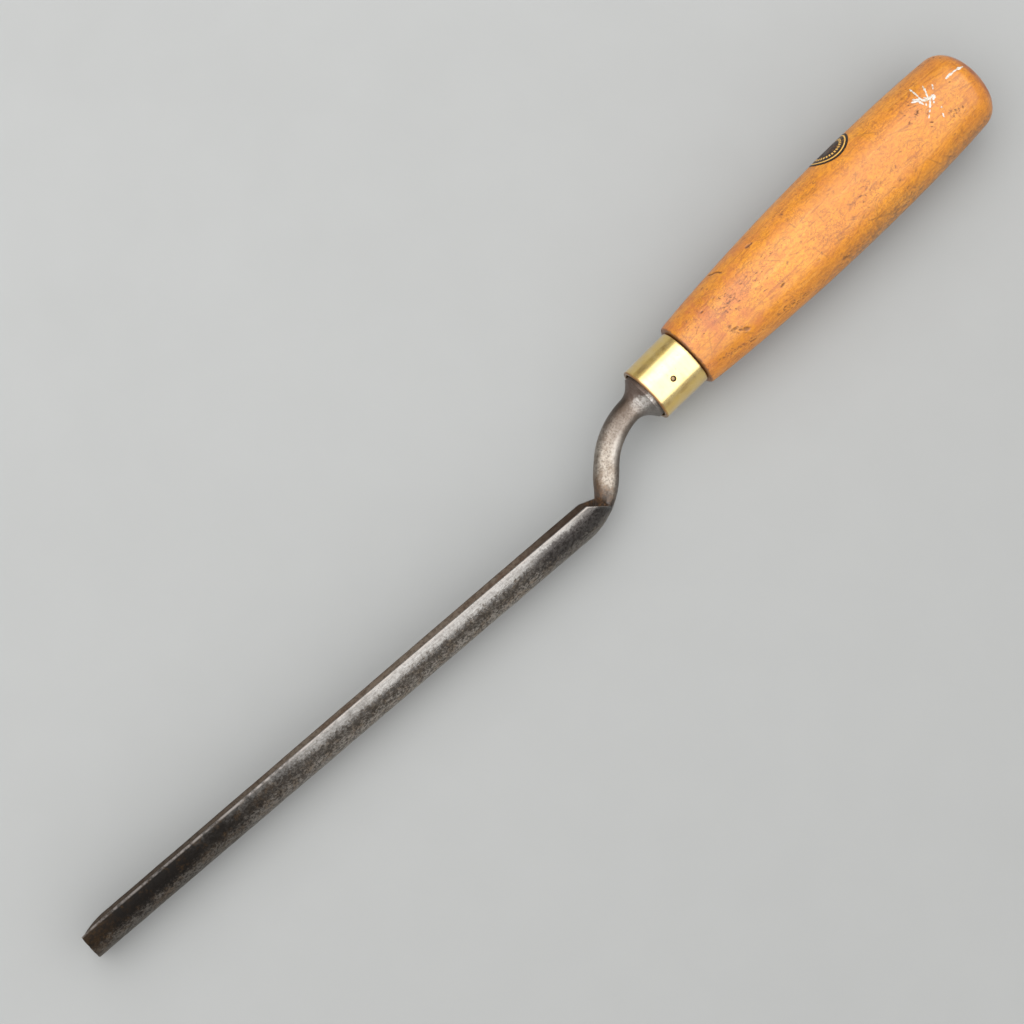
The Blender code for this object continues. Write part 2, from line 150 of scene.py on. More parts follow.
# Uneven surfaces: the depth of the lumps and their size
FORGED = (0.05 * MM, 9.0 * MM)
PITTED = (0.02 * MM, 2.2 * MM)
HAMMERED = (0.05 * MM, 5.0 * MM)    # on the neck alone
TURNED = (0.04 * MM, 14.0 * MM)
SCRAPED = (0.012 * MM, 3.0 * MM)
DRAWN = (0.012 * MM, 7.0 * MM)
NICK_DEPTH = 0.35 * MM              # nicks of the cutting edge
NICK_SIZE = 1.6 * MM
NICK_REACH = 1.2 * MM

# Camera, matched to the photograph
CAMERA_DISTANCE = 1.05
CAMERA_TILT = math.radians(10.5)    # from straight down
CAMERA_TURN = math.radians(40.76)   # of the picture's right edge from +X towards -Y
CAMERA_TARGET = Vector((-8.13, -0.39, 8.0)) * MM
PICTURE_HALF = 512.0
FOCAL_PIXELS = 3435.6

# Light
PANEL_HEIGHT = 1.3
PANEL_START = -1.9                  # along the tool
PANEL_END = 2.0
LEFT_MIDDLE = math.radians(38.0)    # from straight up, towards the side that the hollow faces
LEFT_REACH = math.radians(57.0)
RIGHT_REACH = math.radians(70.5)
LEFT_RADIANCE = 2.75
EDGE_RADIANCE = 1.6
RIGHT_RADIANCE = 2.1
ROOM_COLOUR = (0.42, 0.42, 0.42)
FLOOR_HALF = 3.0

# Facets
OUTER_POINTS = 64
HOLLOW_POINTS = 52
CORNER_POINTS = 4
LAND_POINTS = 2 * CORNER_POINTS
BAR_SIDE = math.radians(6.0)        # half of the bar's side that answers to a rim
FLARE_STEPS = 28
BOLSTER_RINGS = 3
TANG_STEPS = 12
HANDLE_SIDES = 360
FERRULE_SIDES = 256
PIN_SIDES = 48
HANDLE_END = 0.02 * MM              # radii of the small flats at the ends of turned skins
PIN_END = 0.01 * MM
SHARP_ANGLE = math.radians(40.0)

# Zones of the blade's material
UPPER_SWING = 1.4                   # angle from the middle of the back to the upper rim, in radians
BROWN_TURN = math.radians(27.0)     # turns of the lower bend between which the neck's patina takes over
CLEAN_TURN = math.radians(34.0)
ROOT_TURN = math.radians(18.0)      # rust at the neck's root, strong from CLOSED_TURN to NECK_FOOT_TURN
NECK_FOOT_TURN = math.radians(33.0)
ROOT_END = math.radians(44.0)
ROOT_REACH = 16.0                   # points of the back, from the upper rim, that this rust reaches over
FLARE_ROWS = 18.0                   # rings over which the neck's patina gives way to the bolster's


def smooth(value):
    """Ease a value from 0 to 1 with level ends."""
    value = np.clip(value, 0.0, 1.0)
    return value * value * (3.0 - 2.0 * value)


def along(heading):
    return np.array((math.cos(heading), math.sin(heading), 0.0))


def left_of(heading):
    return np.array((-math.sin(heading), math.cos(heading), 0.0))


def eased_corner(start, corner, end):
    """Points between two points, bent towards the corner that they round off."""
    share = np.linspace(0.0, 1.0, CORNER_POINTS + 1)[:, None]
    return start * (1.0 - share) ** 2 + 2.0 * corner * share * (1.0 - share) + end * share ** 2


def on_arc(radius, centre_depth, angle):
    """Points on a round as (depth from the back, distance across), by angle from the back's middle."""
    angle = np.asarray(angle)
    return np.stack((centre_depth - radius * np.cos(angle), radius * np.sin(angle)), axis=-1)


def crescent(wall, hollow_radius, upper_depth, lower_depth):
    """Section of the channel as (depth from the back, distance across), with its rims rounded."""
    hollow_centre = wall + hollow_radius
    ends = {}
    for side, depth in ((1.0, upper_depth), (-1.0, lower_depth)):
        outer = math.acos((BLADE_ROUND - depth) / BLADE_ROUND)
        inner = math.acos((hollow_centre - depth) / hollow_radius)
        land = BLADE_ROUND * math.sin(outer) - hollow_radius * math.sin(inner)
        ease = min(RIM_ROUND, RIM_SHARE * land)
        inward = np.array((0.0, -side * ease))
        outer_corner = on_arc(BLADE_ROUND, BLADE_ROUND, side * outer)
        inner_corner = on_arc(hollow_radius, hollow_centre, side * inner)
        outer_end = side * (outer - ease / BLADE_ROUND)
        inner_end = side * (inner - ease / hollow_radius)
        outer_start = on_arc(BLADE_ROUND, BLADE_ROUND, outer_end)
        inner_start = on_arc(hollow_radius, hollow_centre, inner_end)
        outer_part = eased_corner(outer_start, outer_corner, outer_corner + inward)
        inner_part = eased_corner(inner_corner - inward, inner_corner, inner_start)
        ends[side] = (outer_end, inner_end, np.concatenate((outer_part[1:], inner_part[:-1])))
    outer_turns = np.linspace(ends[1.0][0], ends[-1.0][0], OUTER_POINTS)
    inner_turns = np.linspace(ends[-1.0][1], ends[1.0][1], HOLLOW_POINTS)
    outer_arc = on_arc(BLADE_ROUND, BLADE_ROUND, outer_turns)
    inner_arc = on_arc(hollow_radius, hollow_centre, inner_turns)
    return np.concatenate((outer_arc, ends[-1.0][2], inner_arc, ends[1.0][2][::-1]))


def bar(thickness, width, squareness):
    """Section of the neck, bolster and tang: a superellipse whose points answer to the crescent's."""
    turns = np.concatenate((
        np.linspace(BAR_SIDE, math.pi - BAR_SIDE, OUTER_POINTS),
        np.linspace(math.pi - BAR_SIDE, math.pi + BAR_SIDE, LAND_POINTS + 2)[1:-1],
        np.linspace(math.pi + BAR_SIDE, math.tau - BAR_SIDE, HOLLOW_POINTS),
        np.linspace(math.tau - BAR_SIDE, math.tau + BAR_SIDE, LAND_POINTS + 2)[1:-1],
    ))
    power = 2.0 / squareness
    back = np.sign(np.sin(turns)) * np.abs(np.sin(turns)) ** power
    across = np.sign(np.cos(turns)) * np.abs(np.cos(turns)) ** power
    return np.stack(((1.0 - back) * thickness / 2.0, across * width / 2.0), axis=-1)


def wound(section, angle):
    """Section turned about the axis of the blade's outer round."""
    y = section[:, 0] - BLADE_ROUND
    z = section[:, 1]
    turned_y = y * math.cos(angle) - z * math.sin(angle)
    turned_z = y * math.sin(angle) + z * math.cos(angle)
    return np.stack((turned_y + BLADE_ROUND, turned_z), axis=-1)


def ring(section, back, heading):
    """Points of a section that stands square to a heading, with its back at a given point."""
    up = np.array((0.0, 0.0, 1.0))
    return back + section[:, :1] * left_of(heading) + section[:, 1:] * up


def bar_ring(thickness, width, squareness, centre, heading):
    """Ring of the bar round a given centre."""
    section = bar(thickness, width, squareness)
    return ring(section, centre - left_of(heading) * (thickness / 2.0), heading)


def blade_rings():
    """Straight part of the blade."""
    steps = 430
    rings = []
    for x in np.linspace(0.0, BEND_START, steps, endpoint=False):
        bevel = max(0.0, 1.0 - x / BEVEL_LENGTH)
        wall = WALL + (EDGE - WALL) * bevel
        hollow_radius = HOLLOW_RADIUS + (BLADE_ROUND - EDGE - HOLLOW_RADIUS) * bevel
        depth = TIP_DEPTH + (HEEL_DEPTH - TIP_DEPTH) * x / BEND_START
        worn = max(0.0, 1.0 - x / CORNER_LENGTH) ** 2
        section = crescent(wall, hollow_radius, depth - UPPER_WEAR * worn, depth - LOWER_WEAR * worn)
        section = wound(section, -WIND * (1.0 - x / BEND_START))
        rings.append(ring(section, np.array((x, -BLADE_ROUND, 0.0)), 0.0))
    return rings


WING_TURN = math.atan2(UPPER_WING - BEND_START, LOWER_BEND_RADIUS - HEEL_DEPTH)


def neck_thickness(turn):
    """Thickness of the lower bend in its middle, from the blade's wall to the foot of the neck."""
    return WALL + (NECK_FOOT - WALL) * smooth(turn / CRANK_ANGLE)


def rim_depth(turn):
    """Depth from the back to the straight line of the rims in a section of the lower bend."""
    return LOWER_BEND_RADIUS - (LOWER_BEND_RADIUS - HEEL_DEPTH) / math.cos(turn)


def wing_depth(turn, wing, lean):
    """Depth from the back at which a wing ends, at its rim or its plane's cut. Below 0 it is gone."""
    slope = math.tan(lean)
    height = LOWER_BEND_RADIUS - HEEL_DEPTH - slope * (wing - BEND_START)
    cut = LOWER_BEND_RADIUS - height / (math.cos(turn) - slope * math.sin(turn))
    return min(rim_depth(turn), cut)


def closing_half(turn, wing, lean):
    """One side of the lower bend's section: outer round, rim, inner face, and how far it draws in."""
    least_fillet = 0.001 * MM
    share = smooth((turn - WING_TURN) / (CLOSED_TURN - WING_TURN))
    thickness = neck_thickness(turn)
    cut = wing_depth(turn, wing, lean)
    depth = max(cut, EDGE)
    reach = math.acos(1.0 - depth / BLADE_ROUND)
    wing_half = BLADE_ROUND * math.sin(reach)
    start_turn = min(turn, WING_TURN)
    start_height = neck_thickness(start_turn) + HOLLOW_RADIUS - rim_depth(start_turn)
    opening = math.acos(start_height / HOLLOW_RADIUS)
    spread = opening + (math.pi / 2.0 - opening) * share
    open_half = HOLLOW_RADIUS * math.sin(opening)
    half = min(open_half + ((NECK_WIDTH + SHOULDER_FILLET) / 2.0 - open_half) * share, wing_half)
    fillet = max(SHOULDER_FILLET * share, least_fillet)

    def inner_points(across):
        """The deeper of the neck's front and the cut hollow, eased where they are nearly equal."""
        hollow = thickness + HOLLOW_RADIUS - np.sqrt(np.maximum(HOLLOW_RADIUS ** 2 - across ** 2, 0.0))
        floor = np.minimum(depth, hollow)
        sideways = np.clip(np.abs(2.0 * across / NECK_WIDTH), 0.0, 1.0)
        rounding = (1.0 - sideways ** NECK_SQUARENESS) ** (1.0 / NECK_SQUARENESS)
        front = np.where(sideways < 1.0, thickness * (1.0 + rounding) / 2.0, 0.0)
        mix = np.clip(0.5 + (front - floor) / (2.0 * fillet), 0.0, 1.0)
        return np.stack((floor + (front - floor) * mix + fillet * mix * (1.0 - mix), across), axis=-1)

    ease = min(RIM_ROUND, RIM_SHARE * (wing_half - half))
    outer_share = np.linspace(1.0, -1.0, OUTER_POINTS)[:OUTER_POINTS // 2]
    angles = (reach - ease / BLADE_ROUND) * outer_share
    outer = np.stack((BLADE_ROUND * (1.0 - np.cos(angles)), BLADE_ROUND * np.sin(angles)), axis=-1)
    inner_share = np.linspace(1.0, -1.0, HOLLOW_POINTS)[:HOLLOW_POINTS // 2]
    inner = inner_points(half * np.sin(spread * inner_share) / math.sin(spread))
    corner = eased_corner(outer[0], np.array((depth, wing_half)), np.array((depth, wing_half - ease)))[1:]
    shelf = inner_points(np.linspace(wing_half - ease, half, CORNER_POINTS + 2)[1:-1])
    return outer, np.concatenate((corner, shelf)), inner, 1.0 - smooth(cut / SHED_DEPTH)


def closing_section(turn):
    """Section of the lower bend: the wings are cut away and the neck stands out between them."""
    mirror = np.array((1.0, -1.0))
    outer, rim, inner, shed = closing_half(turn, UPPER_WING, UPPER_LEAN)
    lower_outer, lower_rim, lower_inner, lower_shed = closing_half(turn, LOWER_WING, LOWER_LEAN)
    section = np.concatenate((outer, lower_outer[::-1] * mirror, lower_rim * mirror,
                              lower_inner * mirror, inner[::-1], rim[::-1]))
    middle = OUTER_POINTS // 2
    below = len(lower_rim) + OUTER_POINTS // 2 + HOLLOW_POINTS // 2
    drawn = np.full((len(section), 1), shed)
    drawn[middle:middle + below] = lower_shed
    neck = bar(neck_thickness(turn), NECK_WIDTH, NECK_SQUARENESS)
    return section + (neck - section) * drawn


def lower_bend_turns():
    """Turns of the lower bend at which its rings stand."""
    wing_steps = 16
    shoulder_steps = 72
    foot_steps = 12
    return np.concatenate((
        np.linspace(0.0, WING_TURN, wing_steps, endpoint=False),
        np.linspace(WING_TURN, NECK_TURN, shoulder_steps, endpoint=False),
        np.linspace(NECK_TURN, CRANK_ANGLE, foot_steps, endpoint=False),
    ))


LOWER_CENTRE = np.array((BEND_START, LOWER_BEND_RADIUS - BLADE_ROUND, 0.0))


def lower_bend_rings():
    """Bend from the blade up into the crank, where the channel closes into the neck."""
    rings = []
    for turn in lower_bend_turns():
        if turn < WING_TURN:
            depth = rim_depth(turn)
            section = crescent(neck_thickness(turn), HOLLOW_RADIUS, depth, depth)
        else:
            section = closing_section(turn)
        rings.append(ring(section, LOWER_CENTRE - left_of(turn) * LOWER_BEND_RADIUS, turn))
    return rings


def upper_bend_rings():
    """Ramp of the crank and bend back to the handle's line, and the middle of the ferrule's front."""
    ramp_steps = 18
    bend_steps = 44
    foot = LOWER_CENTRE - left_of(CRANK_ANGLE) * (LOWER_BEND_RADIUS - NECK_FOOT / 2.0)
    rings = []
    for share in np.linspace(0.0, 1.0, ramp_steps, endpoint=False):
        thickness = NECK_FOOT + (NECK - NECK_FOOT) * share
        place = foot + along(CRANK_ANGLE) * (RAMP_LENGTH * share)
        rings.append(bar_ring(thickness, NECK_WIDTH, NECK_SQUARENESS, place, CRANK_ANGLE))
    bend_centre = foot + along(CRANK_ANGLE) * RAMP_LENGTH - left_of(CRANK_ANGLE) * UPPER_BEND_RADIUS
    flare_heading = HANDLE_ANGLE + (FLARE_START - NECK_RUN) / UPPER_BEND_RADIUS
    for heading in np.linspace(CRANK_ANGLE, flare_heading, bend_steps, endpoint=False):
        place = bend_centre + left_of(heading) * UPPER_BEND_RADIUS
        rings.append(bar_ring(NECK, NECK_WIDTH, NECK_SQUARENESS, place, heading))
    bend_end = bend_centre + left_of(HANDLE_ANGLE) * (UPPER_BEND_RADIUS - NECK_OFFSET)
    return rings, bend_end + along(HANDLE_ANGLE) * NECK_RUN


def bolster_rings(ferrule_front):
    """Flare, bolster and tang on the axis of the handle."""
    full = 2.0 * BOLSTER_RADIUS
    eased = full - 2.0 * BOLSTER_EASE
    sections = []
    for share in np.linspace(0.0, 1.0, FLARE_STEPS + 1):
        swell = share ** FLARE_POWER
        thickness = NECK + (full - NECK) * swell
        width = NECK_WIDTH + (full - NECK_WIDTH) * swell
        squareness = NECK_SQUARENESS + (2.0 - NECK_SQUARENESS) * smooth(share * FLARE_ROUNDING)
        place = (FLARE_START - FLARE_END) * share - FLARE_START
        sections.append((place, thickness, width, squareness, NECK_OFFSET * (1.0 - swell)))
    sections.append((0.0, full, full, 2.0, 0.0))
    sections.append((BOLSTER_SEAT - BOLSTER_EASE, full, full, 2.0, 0.0))
    sections.append((BOLSTER_SEAT, eased, eased, 2.0, 0.0))
    for share in np.linspace(0.0, 1.0, TANG_STEPS + 1):
        side = TANG_ROOT + (TANG_POINT - TANG_ROOT) * share
        sections.append((BOLSTER_SEAT + TANG_LENGTH * share, side, side, TANG_SQUARENESS, 0.0))
    rings = []
    for place, thickness, width, squareness, offset in sections:
        centre = ferrule_front + along(HANDLE_ANGLE) * place + left_of(HANDLE_ANGLE) * offset
        rings.append(bar_ring(thickness, width, squareness, centre, HANDLE_ANGLE))
    return rings


def keep_spots(mesh, points):
    """Store each point's place in its piece's own axes, for the material."""
    old = mesh.attributes.get("spot")
    if old is not None:
        mesh.attributes.remove(old)
    spot = mesh.attributes.new("spot", "FLOAT_VECTOR", "POINT")
    spot.data.foreach_set("vector", np.array(points, dtype=np.float32).ravel())


def make_object(name, points, faces, place, attributes=None):
    """Object in the row frame from points in their own axes, which it keeps for its material."""
    points = np.asarray(points, dtype=float).reshape(-1, 3)
    shape = bmesh.new()
    corners = [shape.verts.new(place @ Vector(point)) for point in points]
    for face in faces:
        shape.faces.new([corners[corner] for corner in face])
    bmesh.ops.recalc_face_normals(shape, faces=shape.faces)
    mesh = bpy.data.meshes.new(name)
    shape.to_mesh(mesh)
    shape.free()
    mesh.shade_smooth()
    mesh.set_sharp_from_angle(angle=SHARP_ANGLE)
    keep_spots(mesh, points)
    for label, values in (attributes or {}).items():
        layer = mesh.attributes.new(label, "FLOAT", "POINT")
        layer.data.foreach_set("value", np.asarray(values, dtype=np.float32).ravel())
    piece = bpy.data.objects.new(name, mesh)
    bpy.context.scene.collection.objects.link(piece)
    return piece


def wrapped_faces(rows, count, looped=False):
    """Quads of a skin over rings. In a looped one the last ring joins the first."""
    faces = []
    for row in range(rows if looped else rows - 1):
        start = row * count
        after = (row + 1) % rows * count
        for here in range(count):
            there = (here + 1) % count
            faces.append((start + here, start + there, after + there, after + here))
    return faces


def capped_faces(rows, count):
    """Faces of a skin over rings that is closed over its first ring and its last."""
    last = list(range((rows - 1) * count, rows * count))
    return wrapped_faces(rows, count) + [list(range(count)), last[::-1]]


def outward(grid):
    """Unit normals of a skin over rings, worked out from its neighbours."""
    down = np.gradient(grid, axis=0)
    across = np.roll(grid, -1, axis=1) - np.roll(grid, 1, axis=1)
    normal = np.cross(across, down)
    length = np.linalg.norm(normal, axis=2, keepdims=True)
    return normal / np.maximum(length, 1e-12)


def sunk(grid, depth):
    """Skin whose points lie a given depth below those of another."""
    return grid - outward(grid) * depth[:, :, None]


def lumps(grid, size):
    """Smooth noise from -1 to 1 over the points of a skin, with lumps of about a given size."""
    values = [noise.noise(Vector(point) / size) for point in grid.reshape(-1, 3)]
    return np.array(values).reshape(grid.shape[:2])


def uneven(grid, depth, size):
    """Depths from 0 to twice a given one over the points of a skin, in lumps of about a given size."""
    return depth * (1.0 + lumps(grid, size))


def blade_zones(grid, blade_rows, neck_rows):
    """Values for the blade's material at the points of its skin."""
    turns = lower_bend_turns()
    bend_end = blade_rows + len(turns)
    bend = slice(blade_rows, bend_end)
    inside = OUTER_POINTS + LAND_POINTS
    upper_rim = inside + HOLLOW_POINTS + CORNER_POINTS
    neck, hollow, rim, root, flare, swing = np.zeros((6, *grid.shape[:2]))
    neck[bend] = smooth((turns - BROWN_TURN) / (CLEAN_TURN - BROWN_TURN))[:, None]
    neck[bend_end:] = 1.0
    hollow[:bend_end, OUTER_POINTS + CORNER_POINTS:upper_rim] = 1.0
    hollow *= 1.0 - neck

    # Rust at the root of the neck, and the upper rim up to it: worn bright, and partly a painted highlight
    foot = smooth((turns - ROOT_TURN) / (CLOSED_TURN - ROOT_TURN))
    foot *= smooth((ROOT_END - turns) / (ROOT_END - NECK_FOOT_TURN))
    shed = np.array([closing_half(turn, UPPER_WING, UPPER_LEAN)[3] for turn in turns])
    by_rim = smooth(1.0 - np.arange(OUTER_POINTS) / ROOT_REACH)
    root[bend, OUTER_POINTS:] = foot[:, None]
    root[bend, :OUTER_POINTS] = (foot * shed)[:, None] * by_rim
    rim[:bend_end, upper_rim:] = 1.0
    rim[:bend_end, 0] = 1.0
    rim *= (1.0 - neck) * (1.0 - root)

    # Bolster, and the angle round the back
    flare_row = bend_end + neck_rows
    flare[flare_row:] = smooth(np.arange(len(grid) - flare_row) / FLARE_ROWS)[:, None]
    swing[:, :OUTER_POINTS] = np.linspace(UPPER_SWING, -UPPER_SWING, OUTER_POINTS)
    swing[:, upper_rim:] = UPPER_SWING

    # Place across each section, from -1 at the back to 1 at the side that the hollow faces
    offset = grid[:, :, :2] - grid[:, :, :2].mean(axis=1, keepdims=True)
    facing = offset[:, inside + HOLLOW_POINTS // 2]
    facing = facing / np.maximum(np.linalg.norm(facing, axis=1, keepdims=True), 1e-9)
    side = (offset * facing[:, None, :]).sum(axis=2)
    side = side / np.maximum(np.abs(side).max(axis=1, keepdims=True), 1e-9)
    return {"hollow": hollow, "rim": rim, "neck": neck, "root": root, "flare": flare, "swing": swing,
            "side": side}


def make_blade():
    """Forging from the cutting edge to the tang, with an uneven skin and a nicked edge."""
    straight = blade_rings()
    neck_rings, ferrule_front = upper_bend_rings()
    grid = np.array(straight + lower_bend_rings() + neck_rings + bolster_rings(ferrule_front))
    rows, count = grid.shape[:2]
    zones = blade_zones(grid, len(straight), len(neck_rings))

    # Less uneven on the turned bolster and by the cutting edge, even on the hidden tang
    seat_row = rows - BOLSTER_RINGS - (TANG_STEPS + 1)
    held = np.ones((rows, 1))
    held[seat_row:] = 0.0
    held[seat_row - FLARE_STEPS:seat_row] = np.linspace(1.0, 0.0, FLARE_STEPS)[:, None]
    thin = np.clip(grid[:, :, 0] / BEVEL_LENGTH, 0.05, 1.0)
    depth = uneven(grid, *FORGED) + uneven(grid, *PITTED) + zones["neck"] * uneven(grid, *HAMMERED)
    moved = sunk(grid, depth * held * thin)
    nicks = NICK_DEPTH * np.clip(lumps(grid, NICK_SIZE), 0.0, 1.0)
    moved[:, :, 0] += nicks * np.clip(1.0 - grid[:, :, 0] / NICK_REACH, 0.0, 1.0)
    return make_object("forged_blade", moved, capped_faces(rows, count), TOOL, zones)


def turned_grid(profile, sides):
    """Points of a profile of (place along X, radius) turned about X. The angle runs from +Z towards -Y."""
    profile = np.array(profile)
    angles = np.linspace(-math.pi, math.pi, sides, endpoint=False)
    place = np.repeat(profile[:, :1], sides, axis=1)
    y = -profile[:, 1:] * np.sin(angles)[None, :]
    z = profile[:, 1:] * np.cos(angles)[None, :]
    return np.stack((place, y, z), axis=-1), angles


def turned_piece(name, profile, sides, place):
    """Closed object turned from a profile that ends by its axis."""
    grid, _ = turned_grid(profile, sides)
    return make_object(name, grid, capped_faces(len(profile), sides), place)


def eased_edge(place, radius, ease, side, turns):
    """Profile of a rounded edge by its turns. The side is 1 at the front of a piece and -1 at its rear."""
    points = []
    for turn in turns:
        forward = side * ease * (1.0 - math.cos(turn))
        points.append((place + forward, radius - ease * (1.0 - math.sin(turn))))
    return points


def handle_radius(place):
    """Radius of the handle: it swells to the belly, eases off and rounds over at the butt."""
    place = np.asarray(place, dtype=float)
    front_share = np.clip((place - SHOULDER_PLACE) / (BELLY_PLACE - SHOULDER_PLACE), 0.0, 1.0)
    swell = np.sin(math.pi / 2.0 * front_share) ** SWELL_POWER
    front = SHOULDER_RADIUS + (BELLY_RADIUS - SHOULDER_RADIUS) * swell
    rear_share = np.clip((place - BELLY_PLACE) / (BUTT_START - BELLY_PLACE), 0.0, None)
    rear = BELLY_RADIUS - BUTT_DROP * rear_share ** BUTT_TAPER
    end_share = np.clip((place - BUTT_START) / (HANDLE_LENGTH - BUTT_START), 0.0, 1.0)
    rear = rear * (1.0 - end_share ** BUTT_POWER) ** (1.0 / BUTT_POWER)
    return np.where(place < BELLY_PLACE, front, rear)


class Mark:
    """Oval dent, scratch or chip on the handle, in mm and degrees, with its grime from 0 to 1."""

    def __init__(self, place, angle, length, width, turn, depth, grime):
        self.place = place * MM
        self.angle = math.radians(angle)
        self.length = length * MM
        self.width = width * MM
        self.turn = math.radians(turn)
        self.depth = depth * MM
        self.grime = grime

    def shape(self, places, angles, radii):
        """Share of the mark's depth at each point, from 1 in its middle to 0 at its rim."""
        forward = places - self.place
        swing = (angles - self.angle + math.pi) % math.tau - math.pi
        sideways = swing * radii
        lengthways = forward * math.cos(self.turn) + sideways * math.sin(self.turn)
        crossways = sideways * math.cos(self.turn) - forward * math.sin(self.turn)
        distance = (2.0 * lengthways / self.length) ** 2 + (2.0 * crossways / self.width) ** 2
        return smooth(1.0 - distance)

    def press(self, places, angles, radii, depth, grime):
        """Add the mark to the depth and grime of the rows that it reaches."""
        reach = max(self.length, self.width) / 2.0
        rows = np.nonzero(np.abs(places[:, 0] - self.place) < reach)[0]
        if len(rows) == 0:
            return
        near = slice(rows[0], rows[-1] + 1)
        shape = self.shape(places[near], angles[near], radii[near])
        depth[near] += self.depth * shape
        grime[near] = np.maximum(grime[near], self.grime * np.clip(1.6 * shape, 0.0, 1.0))


SPECK_LINES = (
    # runs of dark specks: from and to (place in mm, angle in degrees), how many, and their stray in mm
    ((46.0, 46.0), (57.5, 56.5), 46, 1.0),
    ((24.0, 40.0), (37.0, 51.0), 34, 1.1),
    ((31.0, 13.0), (34.0, 26.0), 22, 1.0),
    ((33.0, -16.0), (39.0, -18.0), 24, 1.8),
    ((126.5, 6.0), (129.0, 15.0), 16, 0.9),
    ((117.0, -26.0), (121.0, -12.0), 14, 1.2),
    ((72.0, 49.0), (74.0, 57.0), 16, 0.8),
)


def handle_marks():
    """Marks seen in the photograph, then a scatter of small ones all round."""
    marks = [
        Mark(39.9, -78.0, 4.2, 0.9, 70.0, 0.35, 1.0),     # crack, in three stretches
        Mark(41.2, -69.0, 3.4, 0.8, 65.0, 0.35, 1.0),
        Mark(41.8, -61.5, 2.6, 0.7, 80.0, 0.30, 1.0),
        Mark(53.4, -56.4, 2.6, 1.6, 20.0, 0.45, 0.9),     # chip
        Mark(54.6, -54.8, 1.2, 0.9, 0.0, 0.30, 1.0),
        Mark(34.9, 27.6, 2.8, 1.8, 40.0, 0.30, 0.7),      # dents on the front of the belly
        Mark(32.1, 15.3, 1.6, 1.2, 10.0, 0.22, 0.8),
        Mark(31.3, 8.3, 1.4, 1.0, -20.0, 0.20, 0.7),
        Mark(28.6, -36.0, 1.3, 0.9, 0.0, 0.20, 0.9),
        Mark(42.9, -23.7, 1.2, 0.8, 30.0, 0.15, 0.6),
        Mark(51.9, 16.0, 2.6, 0.8, -8.0, 0.22, 0.9),      # short stroke
        Mark(72.9, 53.0, 2.6, 1.6, 15.0, 0.25, 0.8),      # cluster on the lower side
        Mark(119.4, -21.7, 1.1, 0.9, 0.0, 0.20, 1.0),     # dark spots near the butt
        Mark(120.1, -0.2, 1.6, 0.7, 43.0, 0.20, 1.0),
        Mark(119.2, 3.6, 1.1, 0.6, 43.0, 0.12, 0.8),
        Mark(119.0, -35.8, 0.9, 0.7, 20.0, 0.12, 0.9),
        Mark(128.2, 9.2, 0.9, 0.7, 60.0, 0.12, 0.9),
        Mark(128.0, 13.7, 0.8, 0.6, 10.0, 0.10, 0.8),
        Mark(127.1, 11.9, 0.7, 0.6, 0.0, 0.10, 0.8),
        Mark(133.2, -20.5, 1.0, 0.7, 40.0, 0.12, 0.9),
    ]
    small_dents = 170
    scratches = 420
    draw = random.uniform
    for _ in range(small_dents):
        spot = (draw(22.0, 137.0), draw(-180.0, 180.0))
        size = (draw(0.7, 2.0), draw(0.5, 0.8))
        turn = random.gauss(-20.0, 40.0)
        marks.append(Mark(*spot, *size, turn, draw(0.02, 0.10), draw(0.1, 0.7)))
    for _ in range(scratches):
        spot = (draw(20.0, 139.0), draw(-180.0, 180.0))
        size = (draw(2.0, 11.0), draw(0.45, 0.65))
        turn = random.gauss(25.0, 30.0) * random.choice((1.0, 1.0, -1.0))
        marks.append(Mark(*spot, *size, turn, draw(0.01, 0.03), draw(0.08, 0.45)))
    for start, end, number, spread in SPECK_LINES:
        for share in np.linspace(0.0, 1.0, number):
            place = start[0] + (end[0] - start[0]) * share + random.gauss(0.0, spread)
            angle = start[1] + (end[1] - start[1]) * share + random.gauss(0.0, 3.0 * spread)
            size = (draw(0.6, 1.4), 0.55)
            marks.append(Mark(place, angle, *size, random.gauss(30.0, 40.0), 0.04, draw(0.35, 0.95)))
    return marks


